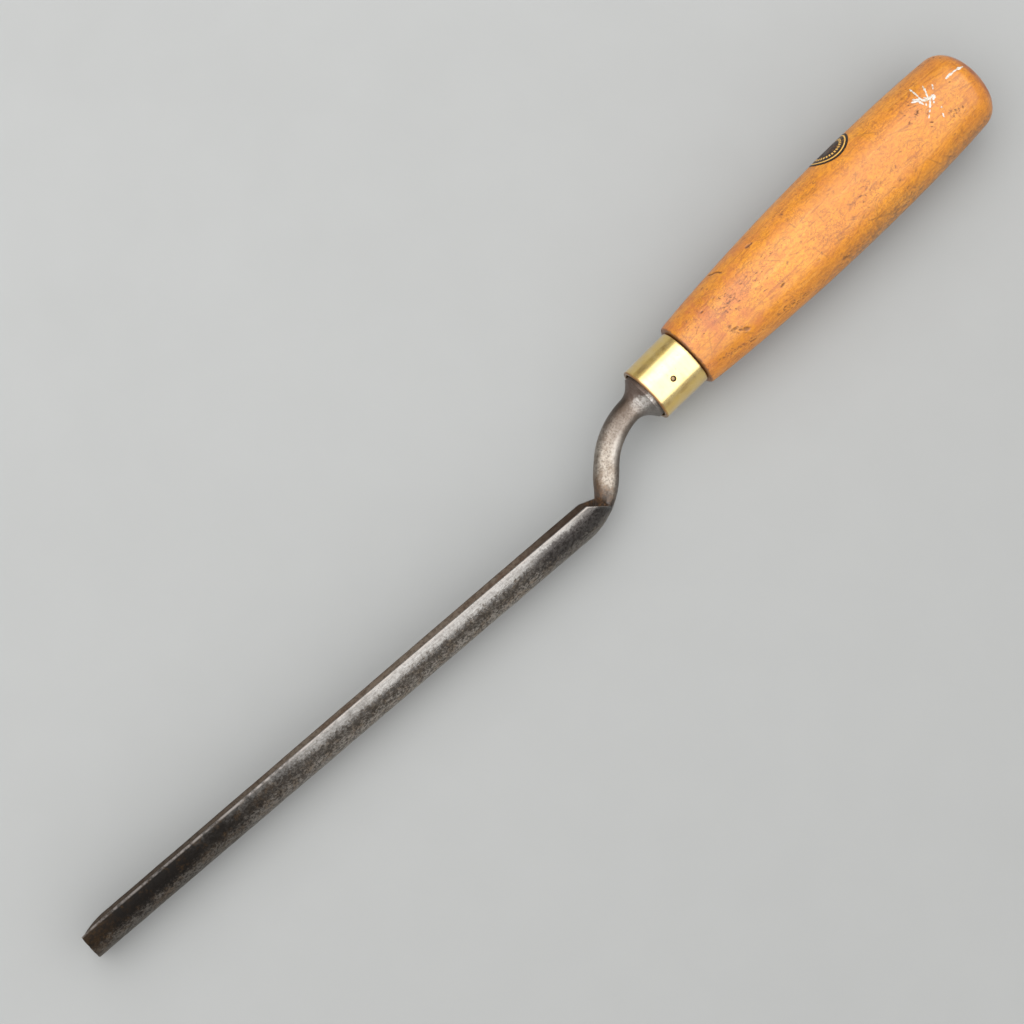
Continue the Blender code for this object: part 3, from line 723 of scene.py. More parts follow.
def make_handle():
    """Turned handle with a spigot for the ferrule and a hole for the tang, dented on its outside."""
    ease_steps = 7
    side_steps = 420
    butt_steps = 40
    butt_rows = 3                       # smooth rows in the middle of the butt
    spigot_front = BOLSTER_SEAT + GAP
    spigot_radius = FERRULE_BORE - GAP
    hole_end = BOLSTER_SEAT + TANG_LENGTH + GAP
    profile = [
        (hole_end, HANDLE_END),
        (hole_end, TANG_HOLE_END),
        (spigot_front, TANG_HOLE_FRONT),
        (spigot_front, spigot_radius - SHOULDER_EASE),
        (spigot_front + SHOULDER_EASE, spigot_radius),
        (SHOULDER_PLACE, spigot_radius),
        (SHOULDER_PLACE, spigot_radius + SHOULDER_EASE),
    ]
    inner_rows = len(profile)
    quarter = np.linspace(0.0, math.pi / 2.0, ease_steps, endpoint=False)
    profile += eased_edge(SHOULDER_PLACE, SHOULDER_RADIUS, SHOULDER_EASE, 1.0, quarter)
    for place in np.linspace(SHOULDER_PLACE + SHOULDER_EASE, BUTT_START, side_steps, endpoint=False):
        profile.append((place, float(handle_radius(place))))
    for turn in np.linspace(0.0, math.pi / 2.0, butt_steps, endpoint=False):
        place = BUTT_START + (HANDLE_LENGTH - BUTT_START) * math.sin(turn)
        profile.append((place, float(handle_radius(place))))
    profile.append((HANDLE_LENGTH, HANDLE_END))
    grid, angles = turned_grid(profile, HANDLE_SIDES)
    rows, count = grid.shape[:2]
    radii = np.array(profile)[:, 1:] * np.ones((1, count))
    angles = angles[None, :] * np.ones((rows, 1))

    depth = uneven(grid, *TURNED) + uneven(grid, *SCRAPED)
    grime = np.zeros((rows, count))
    for mark in handle_marks():
        mark.press(grid[:, :, 0], angles, radii, depth, grime)
    outside = np.ones((rows, 1))
    outside[:inner_rows] = 0.0
    outside[-butt_rows:] = 0.0
    moved = sunk(grid, depth * outside)
    return make_object("turned_handle", moved, capped_faces(rows, count), HANDLE, {"grime": grime * outside})


def make_ferrule():
    """Brass tube with rounded edges, drilled for its pin."""
    ease_steps = 6
    wall_steps = 60
    plain_rows = 8                      # even rows at each end
    half_ease = FERRULE_EASE / 2.0
    quarter = np.linspace(0.0, math.pi / 2.0, ease_steps)
    profile = [(0.0, FERRULE_BORE + half_ease)]
    profile += eased_edge(0.0, FERRULE_FRONT_RADIUS, FERRULE_EASE, 1.0, quarter)
    for share in np.linspace(0.0, 1.0, wall_steps)[1:-1]:
        place = FERRULE_EASE + (FERRULE_LENGTH - 2.0 * FERRULE_EASE) * share
        profile.append((place, FERRULE_FRONT_RADIUS + (FERRULE_REAR_RADIUS - FERRULE_FRONT_RADIUS) * share))
    quarter_back = np.linspace(math.pi / 2.0, 0.0, ease_steps)
    profile += eased_edge(FERRULE_LENGTH, FERRULE_REAR_RADIUS, FERRULE_EASE, -1.0, quarter_back)
    profile.append((FERRULE_LENGTH, FERRULE_BORE + half_ease))
    profile.append((FERRULE_LENGTH - half_ease, FERRULE_BORE))
    profile.append((half_ease, FERRULE_BORE))
    grid, _ = turned_grid(profile, FERRULE_SIDES)
    depth = uneven(grid, *DRAWN)
    depth[:plain_rows] = 0.0
    depth[-plain_rows:] = 0.0
    faces = wrapped_faces(len(profile), FERRULE_SIDES, looped=True)
    ferrule = make_object("brass_ferrule", sunk(grid, depth), faces, HANDLE)

    reach = 3.0 * MM
    radius = PIN_RADIUS + GAP
    low = FERRULE_BORE - reach
    high = FERRULE_REAR_RADIUS + reach
    drill_profile = [(low, PIN_END), (low, radius), (high, radius), (high, PIN_END)]
    drill = turned_piece("pin_drill", drill_profile, PIN_SIDES, HANDLE @ PIN_STAND)
    hole = ferrule.modifiers.new("pin_hole", "BOOLEAN")
    hole.operation = "DIFFERENCE"
    hole.solver = "EXACT"
    hole.object = drill
    bpy.context.view_layer.update()
    drilled = bpy.data.meshes.new_from_object(ferrule.evaluated_get(bpy.context.evaluated_depsgraph_get()))
    ferrule.modifiers.clear()
    ferrule.data = drilled
    bpy.data.objects.remove(drill)
    drilled.shade_smooth()
    drilled.set_sharp_from_angle(angle=SHARP_ANGLE)
    own_axes = HANDLE.inverted()
    keep_spots(drilled, [own_axes @ vertex.co for vertex in drilled.vertices])
    return ferrule


def make_pin():
    """Domed head of the pin in its hole."""
    dome_steps = 10
    top = FERRULE_FRONT_RADIUS + (FERRULE_REAR_RADIUS - FERRULE_FRONT_RADIUS) * PIN_PLACE / FERRULE_LENGTH
    profile = [(top - PIN_HEAD_DEPTH, PIN_END), (top - PIN_HEAD_DEPTH, PIN_RADIUS)]
    for turn in np.linspace(0.0, math.pi / 2.0, dome_steps, endpoint=False):
        profile.append((top - PIN_DOME * (1.0 - math.sin(turn)), PIN_RADIUS * math.cos(turn)))
    profile.append((top, PIN_END))
    return turned_piece("pin_head", profile, PIN_SIDES, HANDLE @ PIN_STAND)


def on_handle(place, angle, stand):
    """Points a given height off the handle's surface."""
    radius = handle_radius(place) + stand
    return np.stack((place, -radius * np.sin(angle), radius * np.cos(angle)), axis=-1)


def make_oval():
    """Thin printed oval laid round the handle, closed on its underside."""
    rings = 40
    spokes = 160
    middle = 0.02                       # share at which its innermost ring stands
    turns = np.linspace(0.0, math.tau, spokes, endpoint=False)
    upper = [(OVAL_STAND, share) for share in np.linspace(middle, 1.0, rings)]
    under = [(-OVAL_SINK, share) for share in np.linspace(1.0, middle, rings)]
    points = []
    for stand, share in upper + under:
        place = OVAL_PLACE + OVAL_LENGTH / 2.0 * share * np.cos(turns)
        angle = OVAL_ANGLE + OVAL_WIDTH / 2.0 * share * np.sin(turns) / BELLY_RADIUS
        points.append(on_handle(place, angle, stand))
    shares = [np.full(spokes, share) for _, share in upper + under]
    spoke = np.tile(np.abs(turns - math.pi), len(points))
    return make_object("printed_oval", points, capped_faces(len(points), spokes), HANDLE,
                       {"share": shares, "spoke": spoke})


PAINT_STROKES = (
    # runs of paint: from and to, in mm along and round the handle from the splash's middle, and width in mm
    ((16.8, -0.4), (12.6, -0.8), 0.95),      # streak by the butt
    ((12.9, -0.7), (9.6, -0.8), 0.8),
    ((12.1, -1.1), (10.5, -1.1), 0.45),
    ((0.0, -7.0), (-0.4, -2.3), 0.55),       # splash
    ((-3.3, -2.9), (-1.5, -1.6), 0.7),
    ((-1.5, -1.6), (-1.2, 0.5), 0.7),
    ((-0.6, -2.5), (-0.3, -0.1), 0.75),
    ((-1.3, -2.6), (-1.0, -1.4), 0.5),
    ((3.3, -4.5), (2.1, -1.5), 0.6),
    ((2.3, -2.2), (1.1, 0.2), 0.55),
    ((5.5, -2.6), (5.1, -1.8), 0.55),
    ((5.0, -1.7), (4.4, -1.1), 0.45),
    ((0.8, 0.1), (3.4, 0.4), 0.75),
    ((3.4, 0.7), (1.7, 1.5), 0.85),
    ((1.8, 1.9), (1.2, 2.4), 0.5),
    ((-2.4, -3.4), (-0.9, -1.6), 0.75),
    ((-0.8, -1.3), (0.7, 0.5), 0.7),
    ((0.4, -1.2), (1.6, 0.9), 0.65),
    ((1.7, 0.4), (-0.7, 2.6), 0.7),          # drips
    ((-1.0, 2.9), (-1.8, 3.5), 0.5),
    ((-2.4, 4.0), (-3.3, 4.7), 0.45),
    ((-0.4, 0.6), (-1.0, 1.4), 0.4),
    ((2.1, 4.6), (2.1, 5.1), 0.65),
    ((1.1, 6.4), (0.5, 7.6), 0.5),
)


def stroke_rings(start, end, width):
    """Rings of a ragged blob along a run of paint."""
    steps = 26
    across_points = 7
    start = np.array(start) * MM
    end = np.array(end) * MM
    share = np.linspace(0.0, 1.0, steps)
    ahead = (end - start) / np.linalg.norm(end - start)
    jitter = np.array([random.uniform(0.15, 1.7) for _ in range(steps)])
    jitter = np.convolve(np.pad(jitter, 1, mode="edge"), np.ones(3) / 3.0, mode="valid")
    taper = np.sqrt(np.clip(1.0 - np.abs(2.0 * share - 1.0) ** 3, 0.02, 1.0))
    half = width * MM / 2.0 * taper * jitter
    top = np.linspace(-1.0, 1.0, across_points)
    spreads = [(PAINT_STAND * math.sqrt(1.0 - spread * spread), spread) for spread in top]
    spreads += [(-PAINT_STAND, spread) for spread in (0.9, 0.0, -0.9)]
    points = []
    for stand, spread in spreads:
        place = SPLASH_PLACE + start[0] + (end[0] - start[0]) * share - ahead[1] * half * spread
        around = start[1] + (end[1] - start[1]) * share + ahead[0] * half * spread
        points.append(on_handle(place, SPLASH_ANGLE + around / handle_radius(place), stand))
    return np.stack(points, axis=1)


def make_paint():
    """All the paint on the handle as one piece made of closed blobs."""
    points = []
    faces = []
    for stroke in PAINT_STROKES:
        rings = stroke_rings(*stroke)
        first = len(points)
        points.extend(rings.reshape(-1, 3))
        faces.extend([[first + corner for corner in face] for face in capped_faces(*rings.shape[:2])])
    return make_object("spilt_paint", points, faces, HANDLE)


class Field:
    """Number, colour or place at every point of a surface: a node's output. One | another is the larger."""

    def __init__(self, surface, socket):
        self.surface = surface
        self.socket = socket

    def __add__(self, other):
        return self.surface.math("ADD", self, other)

    def __sub__(self, other):
        return self.surface.math("SUBTRACT", self, other)

    def __mul__(self, other):
        return self.surface.math("MULTIPLY", self, other)

    def __or__(self, other):
        return self.surface.math("MAXIMUM", self, other)

    def ramp(self, low, high, start=0.0, end=1.0):
        """Ease from start to end while the field runs from low to high."""
        inputs = {"Value": self, "From Min": low, "From Max": high, "To Min": start, "To Max": end}
        return self.surface.field("MapRange", "Result", inputs, interpolation_type="SMOOTHSTEP")


class Surface:
    """Procedural material in the making: a principled shader and the nodes that feed it."""

    def __init__(self, name):
        self.material = bpy.data.materials.new(name)
        self.material.use_nodes = True
        self.tree = self.material.node_tree
        self.shader = self.tree.nodes["Principled BSDF"]
        self.spot = self.field("Attribute", "Vector", {}, attribute_name="spot")
        self.x = self.field("SeparateXYZ", "X", {"Vector": self.spot})
        self.y = self.field("SeparateXYZ", "Y", {"Vector": self.spot})

    def put(self, socket, value):
        """Link a field to a socket, or set the socket itself."""
        if isinstance(value, Field):
            self.tree.links.new(value.socket, socket)
        elif socket.type == "RGBA":
            socket.default_value = (*value, 1.0)
        else:
            socket.default_value = value

    def field(self, kind, output, inputs, **settings):
        """Output of a new node with its settings and inputs."""
        node = self.tree.nodes.new("ShaderNode" + kind)
        for name, setting in settings.items():
            setattr(node, name, setting)
        for key, value in inputs.items():
            self.put(node.inputs[key], value)
        return Field(self, node.outputs[output])

    def finish(self, **values):
        """Set the shader's inputs and hand over the material."""
        for name, value in values.items():
            self.put(self.shader.inputs[name.replace("_", " ")], value)
        return self.material

    def math(self, operation, first, second):
        return self.field("Math", "Value", {0: first, 1: second}, operation=operation)

    def blend(self, share, first, second):
        """First colour where the share is 0, second where it is 1."""
        return self.field("Mix", 2, {"Factor": share, 6: first, 7: second}, data_type="RGBA")

    def value(self, name):
        """Named value at the mesh's points."""
        return self.field("Attribute", "Fac", {}, attribute_name=name)

    def stretched(self, along_scale, across_scale=1.0, turn=0.0):
        """Places scaled along the piece and across it, then turned about Z by degrees."""
        scale = (along_scale, across_scale, across_scale)
        rotation = (0.0, 0.0, math.radians(turn))
        inputs = {"Vector": self.spot, "Scale": scale, "Rotation": rotation}
        return self.field("Mapping", "Vector", inputs)

    def noise(self, scale, detail, roughness, vector=None):
        inputs = {"Vector": vector or self.spot, "Scale": scale, "Detail": detail, "Roughness": roughness}
        return self.field("TexNoise", "Fac", inputs)

    def stray(self, reach, scale, detail, roughness):
        """Noise that strays up to half of a reach to both sides of 0."""
        return (self.noise(scale, detail, roughness) - 0.5) * reach

    def bump(self, height, strength, distance):
        return self.field("Bump", "Normal", {"Height": height, "Strength": strength, "Distance": distance})


def neck_colour(s, jag, flecks):
    """Grey and brown neck, rusted at its foot: painted highlight along part of its middle, painted shade at
    both sides.
    """
    blotch = s.noise(260.0, 7.0, 0.74).ramp(0.44, 0.62, 0.0, 0.75)
    colour = s.blend(blotch, (0.350, 0.312, 0.266), (0.178, 0.136, 0.102))
    colour = s.blend(flecks, colour, (0.086, 0.062, 0.046))
    browned = (s.x + jag * (16.0 * MM)).ramp(212.0 * MM, 223.0 * MM, 0.0, 0.62)
    colour = s.blend(browned, colour, (0.118, 0.090, 0.076))
    rusted = (s.x + jag * (10.0 * MM)).ramp(203.5 * MM, 209.5 * MM, 0.85, 0.0)
    colour = s.blend(rusted, colour, (0.135, 0.074, 0.036))
    side = s.value("side") + jag * 0.7
    # Painted shade on the side that the hollow faces, towards the upper bend
    shaded = side.ramp(-0.20, 0.70, 0.0, 0.85) * s.x.ramp(216.0 * MM, 228.0 * MM)
    colour = s.blend(shaded, colour, (0.060, 0.042, 0.030))
    # Painted highlight: a pale band along part of the neck's middle
    bright = side.ramp(0.05, -0.25, 0.0, 0.5) * side.ramp(-0.75, -0.45)
    bright = bright * s.x.ramp(211.0 * MM, 216.0 * MM) * s.x.ramp(217.0 * MM, 224.0 * MM, 1.0, 0.0)
    colour = s.blend(bright, colour, (0.52, 0.485, 0.440))
    # Painted shade towards the back of the neck
    back = side.ramp(-0.25, -0.75, 0.0, 0.72) * s.x.ramp(213.0 * MM, 219.0 * MM, 1.0, 0.25)
    return s.blend(back, colour, (0.082, 0.066, 0.054))


def bolster_colour(s, jag, flecks):
    """Pale flare with brown blotches, rusty towards the side that the hollow faces, painted shade towards
    the other side.
    """
    blotch = s.noise(420.0, 6.0, 0.72).ramp(0.44, 0.60, 0.0, 0.7)
    colour = s.blend(blotch, (0.50, 0.47, 0.436), (0.150, 0.124, 0.106))
    colour = s.blend(flecks, colour, (0.098, 0.072, 0.056))
    ragged = s.y + jag * (9.0 * MM)
    colour = s.blend(ragged.ramp(11.6 * MM, 14.0 * MM, 0.0, 0.9), colour, (0.074, 0.043, 0.030))
    # Painted shade on the side away from the hollow
    return s.blend(ragged.ramp(9.8 * MM, 8.0 * MM, 0.0, 0.75), colour, (0.085, 0.074, 0.064))


def hollow_colour(s):
    """Brown hollow, darker towards both of its ends."""
    rust = s.noise(130.0, 7.0, 0.7, s.stretched(0.45)).ramp(0.46, 0.66, 0.05, 0.85)
    colour = s.blend(rust, (0.110, 0.088, 0.068), (0.070, 0.042, 0.027))
    specks = s.noise(900.0, 5.0, 0.74).ramp(0.46, 0.60, 0.0, 0.6)
    colour = s.blend(specks, colour, (0.034, 0.022, 0.015))
    colour = s.blend(s.x.ramp(25.0 * MM, 110.0 * MM, 0.68, 0.0), colour, (0.016, 0.0115, 0.009))
    return s.blend(s.x.ramp(168.0 * MM, 188.0 * MM, 0.0, 0.76), colour, (0.022, 0.0125, 0.008))


def steel_surface():
    """Old forged steel: satin on top, dark oxide and brown specks below, near black at the cutting end."""
    s = Surface("aged_steel")
    satin = s.noise(1700.0, 5.0, 0.65, s.stretched(0.10)).ramp(0.34, 0.66)
    colour = s.blend(satin, (0.322, 0.311, 0.297), (0.228, 0.217, 0.203))
    glint = s.noise(1100.0, 5.0, 0.76).ramp(0.46, 0.60, 0.0, 0.55)
    colour = s.blend(glint, colour, (0.120, 0.109, 0.099))
    clouds = s.noise(150.0, 6.0, 0.66).ramp(0.42, 0.66, 0.0, 0.4)
    colour = s.blend(clouds, colour, (0.17, 0.156, 0.142))

    # Angle round the back, with a ragged edge to each zone; the satin narrows towards the cutting end
    jag = s.stray(0.72, 420.0, 9.0, 0.78)
    fleck = s.stray(0.80, 1350.0, 4.0, 0.66)
    turned = s.value("swing") + (jag + fleck)
    swing = turned - s.x.ramp(56.0 * MM, 118.0 * MM, 0.17, 0.0)
    lower = swing.ramp(1.17, 0.93)
    dark_band = swing.ramp(1.27, 0.95) * swing.ramp(0.60, 0.88)
    dark_band = dark_band * s.noise(640.0, 6.0, 0.76).ramp(0.40, 0.56, 0.42, 0.94)
    grain = s.noise(1000.0, 6.0, 0.78).ramp(0.45, 0.56, 0.0, 0.9)
    patch = s.noise(270.0, 6.0, 0.7).ramp(0.45, 0.60)
    pitted = s.blend(patch, (0.375, 0.338, 0.297), (0.288, 0.228, 0.171))
    pitted = s.blend(grain, pitted, (0.052, 0.039, 0.030))
    colour = s.blend(lower, colour, pitted)
    colour = s.blend(dark_band, colour, (0.057, 0.048, 0.040))

    # Dark heel
    shift = jag * (22.0 * MM) + fleck * (14.0 * MM)
    steady = s.value("swing") + (jag + fleck) * 0.4
    heel = (s.x + shift).ramp(166.0 * MM, 183.0 * MM, 0.0, 0.92) * steady.ramp(1.34, 1.23)
    heel = heel | (s.x + shift).ramp(187.0 * MM, 199.0 * MM, 0.0, 0.72)
    heel = heel * swing.ramp(0.35, 0.92, 0.45, 1.0)
    colour = s.blend(heel, colour, s.blend(grain, (0.060, 0.054, 0.051), (0.026, 0.022, 0.020)))

    # Near black tip
    from_edge = s.x + (s.stray(80.0 * MM, 70.0, 8.0, 0.74) + shift)
    tip = from_edge.ramp(40.0 * MM, 124.0 * MM, 1.0, 0.0) * turned.ramp(0.58, 0.98, 0.80, 0.99)
    tinge = s.noise(260.0, 7.0, 0.76).ramp(0.50, 0.64) | from_edge.ramp(1.0 * MM, 17.0 * MM, 0.7, 0.0)
    tinge = tinge * s.noise(800.0, 5.0, 0.74).ramp(0.42, 0.58, 0.25, 1.0)
    colour = s.blend(tip, colour, s.blend(tinge, (0.0056, 0.0044, 0.0036), (0.027, 0.0150, 0.0062)))

    # Neck, bolster, hollow, root of the neck and rim
    neck = s.value("neck")
    flare = s.value("flare")
    hollow = s.value("hollow")
    root = s.value("root")
    flecks = s.noise(1500.0, 5.0, 0.74).ramp(0.48, 0.60, 0.0, 0.62)
    colour = s.blend(neck, colour, neck_colour(s, jag, flecks))
    colour = s.blend(flare, colour, bolster_colour(s, jag, flecks))
    colour = s.blend(hollow, colour, hollow_colour(s))
    rust = s.noise(520.0, 5.0, 0.7).ramp(0.46, 0.62)
    foot = s.blend(rust, (0.028, 0.018, 0.012), (0.105, 0.054, 0.025))
    colour = s.blend(root * s.noise(900.0, 5.0, 0.7).ramp(0.30, 0.60, 1.0, 0.72), colour, foot)
    # Lighter steel along the rims: worn bright, and partly a painted highlight along their edges
    rim = s.value("rim") * s.noise(420.0, 7.0, 0.72).ramp(0.38, 0.56, 0.15, 0.9)
    rim = rim * s.x.ramp(10.0 * MM, 125.0 * MM, 0.45, 1.0)
    colour = s.blend(rim, colour, (0.29, 0.262, 0.241))

    patina = (hollow | root) * 0.75 | tip * 0.9 | flare * 0.42
    metallic = patina.ramp(0.0, 1.0, 0.95, 0.1)
    roughness = (lower * 0.62 | neck * 0.42 | patina).ramp(0.0, 1.0, 0.25, 0.50)
    gloss = (tip | hollow).ramp(0.2, 0.9, 0.5, 0.06)
    height = s.noise(650.0, 6.0, 0.68) * lower.ramp(0.0, 1.0, 0.25, 0.8)
    height = height - grain * lower * 0.4 - flecks * neck * 0.35
    normal = s.bump(height, 0.40, 0.22 * MM)
    return s.finish(Base_Color=colour, Metallic=metallic, Roughness=roughness, Normal=normal,
                    Specular_IOR_Level=gloss)


def grain_colour(s):
    """Boxwood under amber varnish: clouds, streaks along the grain, mottle and slanting lines."""
    clouds = s.noise(42.0, 5.0, 0.6, s.stretched(0.5)).ramp(0.34, 0.68)
    colour = s.blend(clouds, (0.615, 0.250, 0.012), (0.520, 0.186, 0.005))
    streaks = s.noise(620.0, 4.0, 0.6, s.stretched(0.05)).ramp(0.36, 0.68, 0.0, 0.30)
    colour = s.blend(streaks, colour, (0.37, 0.118, 0.008))
    mottle = s.noise(1050.0, 6.0, 0.78, s.stretched(0.6)).ramp(0.46, 0.57, 0.0, 0.50)
    colour = s.blend(mottle, colour, (0.31, 0.088, 0.006))
    pale = s.noise(480.0, 3.0, 0.6, s.stretched(0.09, turn=28.0)).ramp(0.56, 0.70, 0.0, 0.32)
    colour = s.blend(pale, colour, (0.60, 0.29, 0.055))
    dark = s.noise(700.0, 3.0, 0.55, s.stretched(0.10, turn=-26.0)).ramp(0.62, 0.72, 0.0, 0.5)
    return s.blend(dark, colour, (0.22, 0.062, 0.010))


def wood_surface():
    """Handle's wood: its grain, then stains, pores, specks, grime, fine cracks and dirt."""
    s = Surface("varnished_boxwood")
    colour = grain_colour(s)

    # Red stains and darker wood where it is handled, dark rim of the butt
    upper = s.y.ramp(-11.5 * MM, -5.0 * MM)
    stain = s.x.ramp(22.0 * MM, 74.0 * MM, 1.0, 0.30) * upper
    stain = stain * s.noise(120.0, 8.0, 0.78).ramp(0.43, 0.60, 0.0, 0.60)
    colour = s.blend(stain, colour, (0.37, 0.082, 0.030))
    handled = s.x.ramp(26.0 * MM, 56.0 * MM, 0.26, 0.0) * upper
    handled = handled | s.x.ramp(112.0 * MM, 134.0 * MM, 0.0, 0.24)
    colour = s.blend(handled, colour, (0.29, 0.085, 0.007))
    butt = s.x.ramp(HANDLE_LENGTH - 4.4 * MM, HANDLE_LENGTH - 2.4 * MM, 0.0, 0.85)
    butt = butt * s.x.ramp(HANDLE_LENGTH - 2.0 * MM, HANDLE_LENGTH - 0.7 * MM, 1.0, 0.45)
    butt = butt * s.noise(420.0, 6.0, 0.74).ramp(0.40, 0.62, 0.6, 1.0)
    colour = s.blend(butt, colour, (0.20, 0.040, 0.008))

    # Pores, specks, marks and fine cracks
    pores = s.noise(1500.0, 2.0, 0.5, s.stretched(0.16)).ramp(0.60, 0.67, 0.0, 0.40)
    colour = s.blend(pores, colour, (0.19, 0.055, 0.010))
    specks = s.noise(1500.0, 3.0, 0.62, s.stretched(0.5, turn=20.0)).ramp(0.58, 0.65)
    specks = specks * s.noise(95.0, 5.0, 0.66).ramp(0.46, 0.66, 0.12, 1.0)
    colour = s.blend(specks * 0.9, colour, (0.10, 0.028, 0.008))
    grime = s.value("grime")
    colour = s.blend(grime * 0.85, colour, (0.055, 0.016, 0.005))
    contour = s.noise(620.0, 4.0, 0.62)
    crackle = contour.ramp(0.478, 0.494) * contour.ramp(0.506, 0.522, 1.0, 0.0)
    crackle = crackle * s.noise(110.0, 5.0, 0.7).ramp(0.42, 0.62, 0.1, 0.75)
    colour = s.blend(crackle, colour, (0.15, 0.040, 0.010))

    # Dark joint by the ferrule, dirt on the side away from the hollow
    frayed = s.x + s.stray(1.8 * MM, 700.0, 5.0, 0.7)
    joint = frayed.ramp(SHOULDER_PLACE + 0.1 * MM, SHOULDER_PLACE + 0.7 * MM, 0.75, 0.0)
    colour = s.blend(joint, colour, (0.075, 0.028, 0.010))
    dirt = (s.y + s.stray(9.0 * MM, 60.0, 4.0, 0.6)).ramp(-8.0 * MM, -14.5 * MM)
    dirt = dirt * s.x.ramp(48.0 * MM, 84.0 * MM, 0.1, 1.0)
    dirt = dirt * s.noise(900.0, 5.0, 0.7).ramp(0.42, 0.60, 0.15, 0.85)
    colour = s.blend(dirt, colour, (0.115, 0.055, 0.014))

    roughness = s.noise(240.0, 4.0, 0.6).ramp(0.3, 0.7, 0.30, 0.46) | grime * 0.9 | specks * 0.8
    height = s.noise(900.0, 4.0, 0.6, s.stretched(0.15)) - specks * 0.8
    normal = s.bump(height, 0.3, 0.09 * MM)
    return s.finish(Base_Color=colour, Roughness=roughness, Normal=normal, Specular_IOR_Level=0.62)


def brass_surface(name, bright, dull, dulled):
    """Brass with smudges, fine lines and specks. The ferrule's ends are tarnished, its flanks carry a
    painted reflection tint, its front lip is dark with tarnish and painted shade.
    """
    s = Surface(name)
    smudge = s.noise(170.0, 4.0, 0.6).ramp(0.42, 0.72, 0.0, dulled)
    colour = s.blend(smudge, bright, dull)
    lines = s.noise(900.0, 3.0, 0.6, s.stretched(1.0, 0.12)).ramp(0.40, 0.70, 0.0, 0.18)
    colour = s.blend(lines, colour, dull)
    specks = s.noise(1500.0, 2.0, 0.5).ramp(0.68, 0.76, 0.0, 0.6)
    colour = s.blend(specks, colour, (0.22, 0.12, 0.04))
    ends = s.x.ramp(0.3 * MM, 1.2 * MM, 1.0, 0.0)
    ends = ends | s.x.ramp(FERRULE_LENGTH - 1.0 * MM, FERRULE_LENGTH - 0.2 * MM)
    tarnish = ends * s.noise(500.0, 5.0, 0.7).ramp(0.36, 0.64, 0.35, 0.9)
    colour = s.blend(tarnish, colour, (0.22, 0.120, 0.040))
    # Painted reflection: a deeper yellow on both flanks
    sides = s.y.ramp(5.0 * MM, 6.6 * MM) | s.y.ramp(-5.0 * MM, -6.6 * MM)
    sides = sides * s.noise(300.0, 5.0, 0.7).ramp(0.36, 0.62, 0.35, 0.95)
    colour = s.blend(sides, colour, (0.80, 0.56, 0.15))
    for place in (-6.0 * MM, 7.2 * MM):
        line = s.y.ramp(place - 0.9 * MM, place - 0.2 * MM) * s.y.ramp(place + 0.9 * MM, place + 0.2 * MM)
        line = line * s.noise(190.0, 6.0, 0.74).ramp(0.44, 0.60, 0.1, 0.55)
        colour = s.blend(line, colour, (0.44, 0.26, 0.065))
    # Dark front lip: tarnish, and painted shade in the gap at the bolster
    lip = s.x.ramp(0.3 * MM, 0.75 * MM, 0.9, 0.0)
    colour = s.blend(lip, colour, (0.150, 0.062, 0.020))
    roughness = s.noise(330.0, 4.0, 0.6).ramp(0.3, 0.7, 0.21, 0.27)
    normal = s.bump(s.noise(700.0, 3.0, 0.6, s.stretched(1.0, 0.2)), 0.02, 0.05 * MM)
    metallic = lip.ramp(0.0, 0.9, 1.0, 0.3)
    coat = lip.ramp(0.0, 0.45, 0.8, 0.0)
    return s.finish(Base_Color=colour, Metallic=metallic, Roughness=roughness, Normal=normal,
                    Coat_Weight=coat, Coat_Roughness=0.2)


def oval_surface():
    """Dark print with a gilt line and a ring of beads inside its edge, rubbed."""
    s = Surface("printed_transfer")
    share = s.value("share")
    line = share.ramp(0.825, 0.84) * share.ramp(0.885, 0.90, 1.0, 0.0)
    beads = share.ramp(0.56, 0.58) * share.ramp(0.68, 0.70, 1.0, 0.0)
    spoke = s.math("PINGPONG", s.value("spoke"), OVAL_BEAD)
    beads = beads * spoke.ramp(0.35 * OVAL_BEAD, 0.55 * OVAL_BEAD)
    clouds = s.noise(400.0, 3.0, 0.6).ramp(0.35, 0.7)
    colour = s.blend(clouds, (0.010, 0.007, 0.006), (0.030, 0.014, 0.008))
    colour = s.blend(line | beads, colour, (0.62, 0.36, 0.085))
    rubbed = s.noise(1300.0, 5.0, 0.7).ramp(0.56, 0.66, 0.0, 0.75)
    colour = s.blend(rubbed, colour, (0.30, 0.12, 0.018))
    roughness = s.noise(500.0, 3.0, 0.6).ramp(0.3, 0.7, 0.32, 0.5)
    normal = s.bump(s.noise(1200.0, 3.0, 0.6), 0.12, 0.03 * MM)
    return s.finish(Base_Color=colour, Roughness=roughness, Normal=normal, Specular_IOR_Level=0.22)


def paint_surface():
    s = Surface("dried_paint")
    dirt = s.noise(1300.0, 5.0, 0.7).ramp(0.46, 0.62, 0.0, 0.8)
    colour = s.blend(dirt, (0.50, 0.49, 0.46), (0.34, 0.24, 0.13))
    roughness = s.noise(800.0, 3.0, 0.6).ramp(0.3, 0.7, 0.5, 0.75)
    normal = s.bump(s.noise(1800.0, 3.0, 0.6), 0.3, 0.06 * MM)
    return s.finish(Base_Color=colour, Roughness=roughness, Normal=normal)


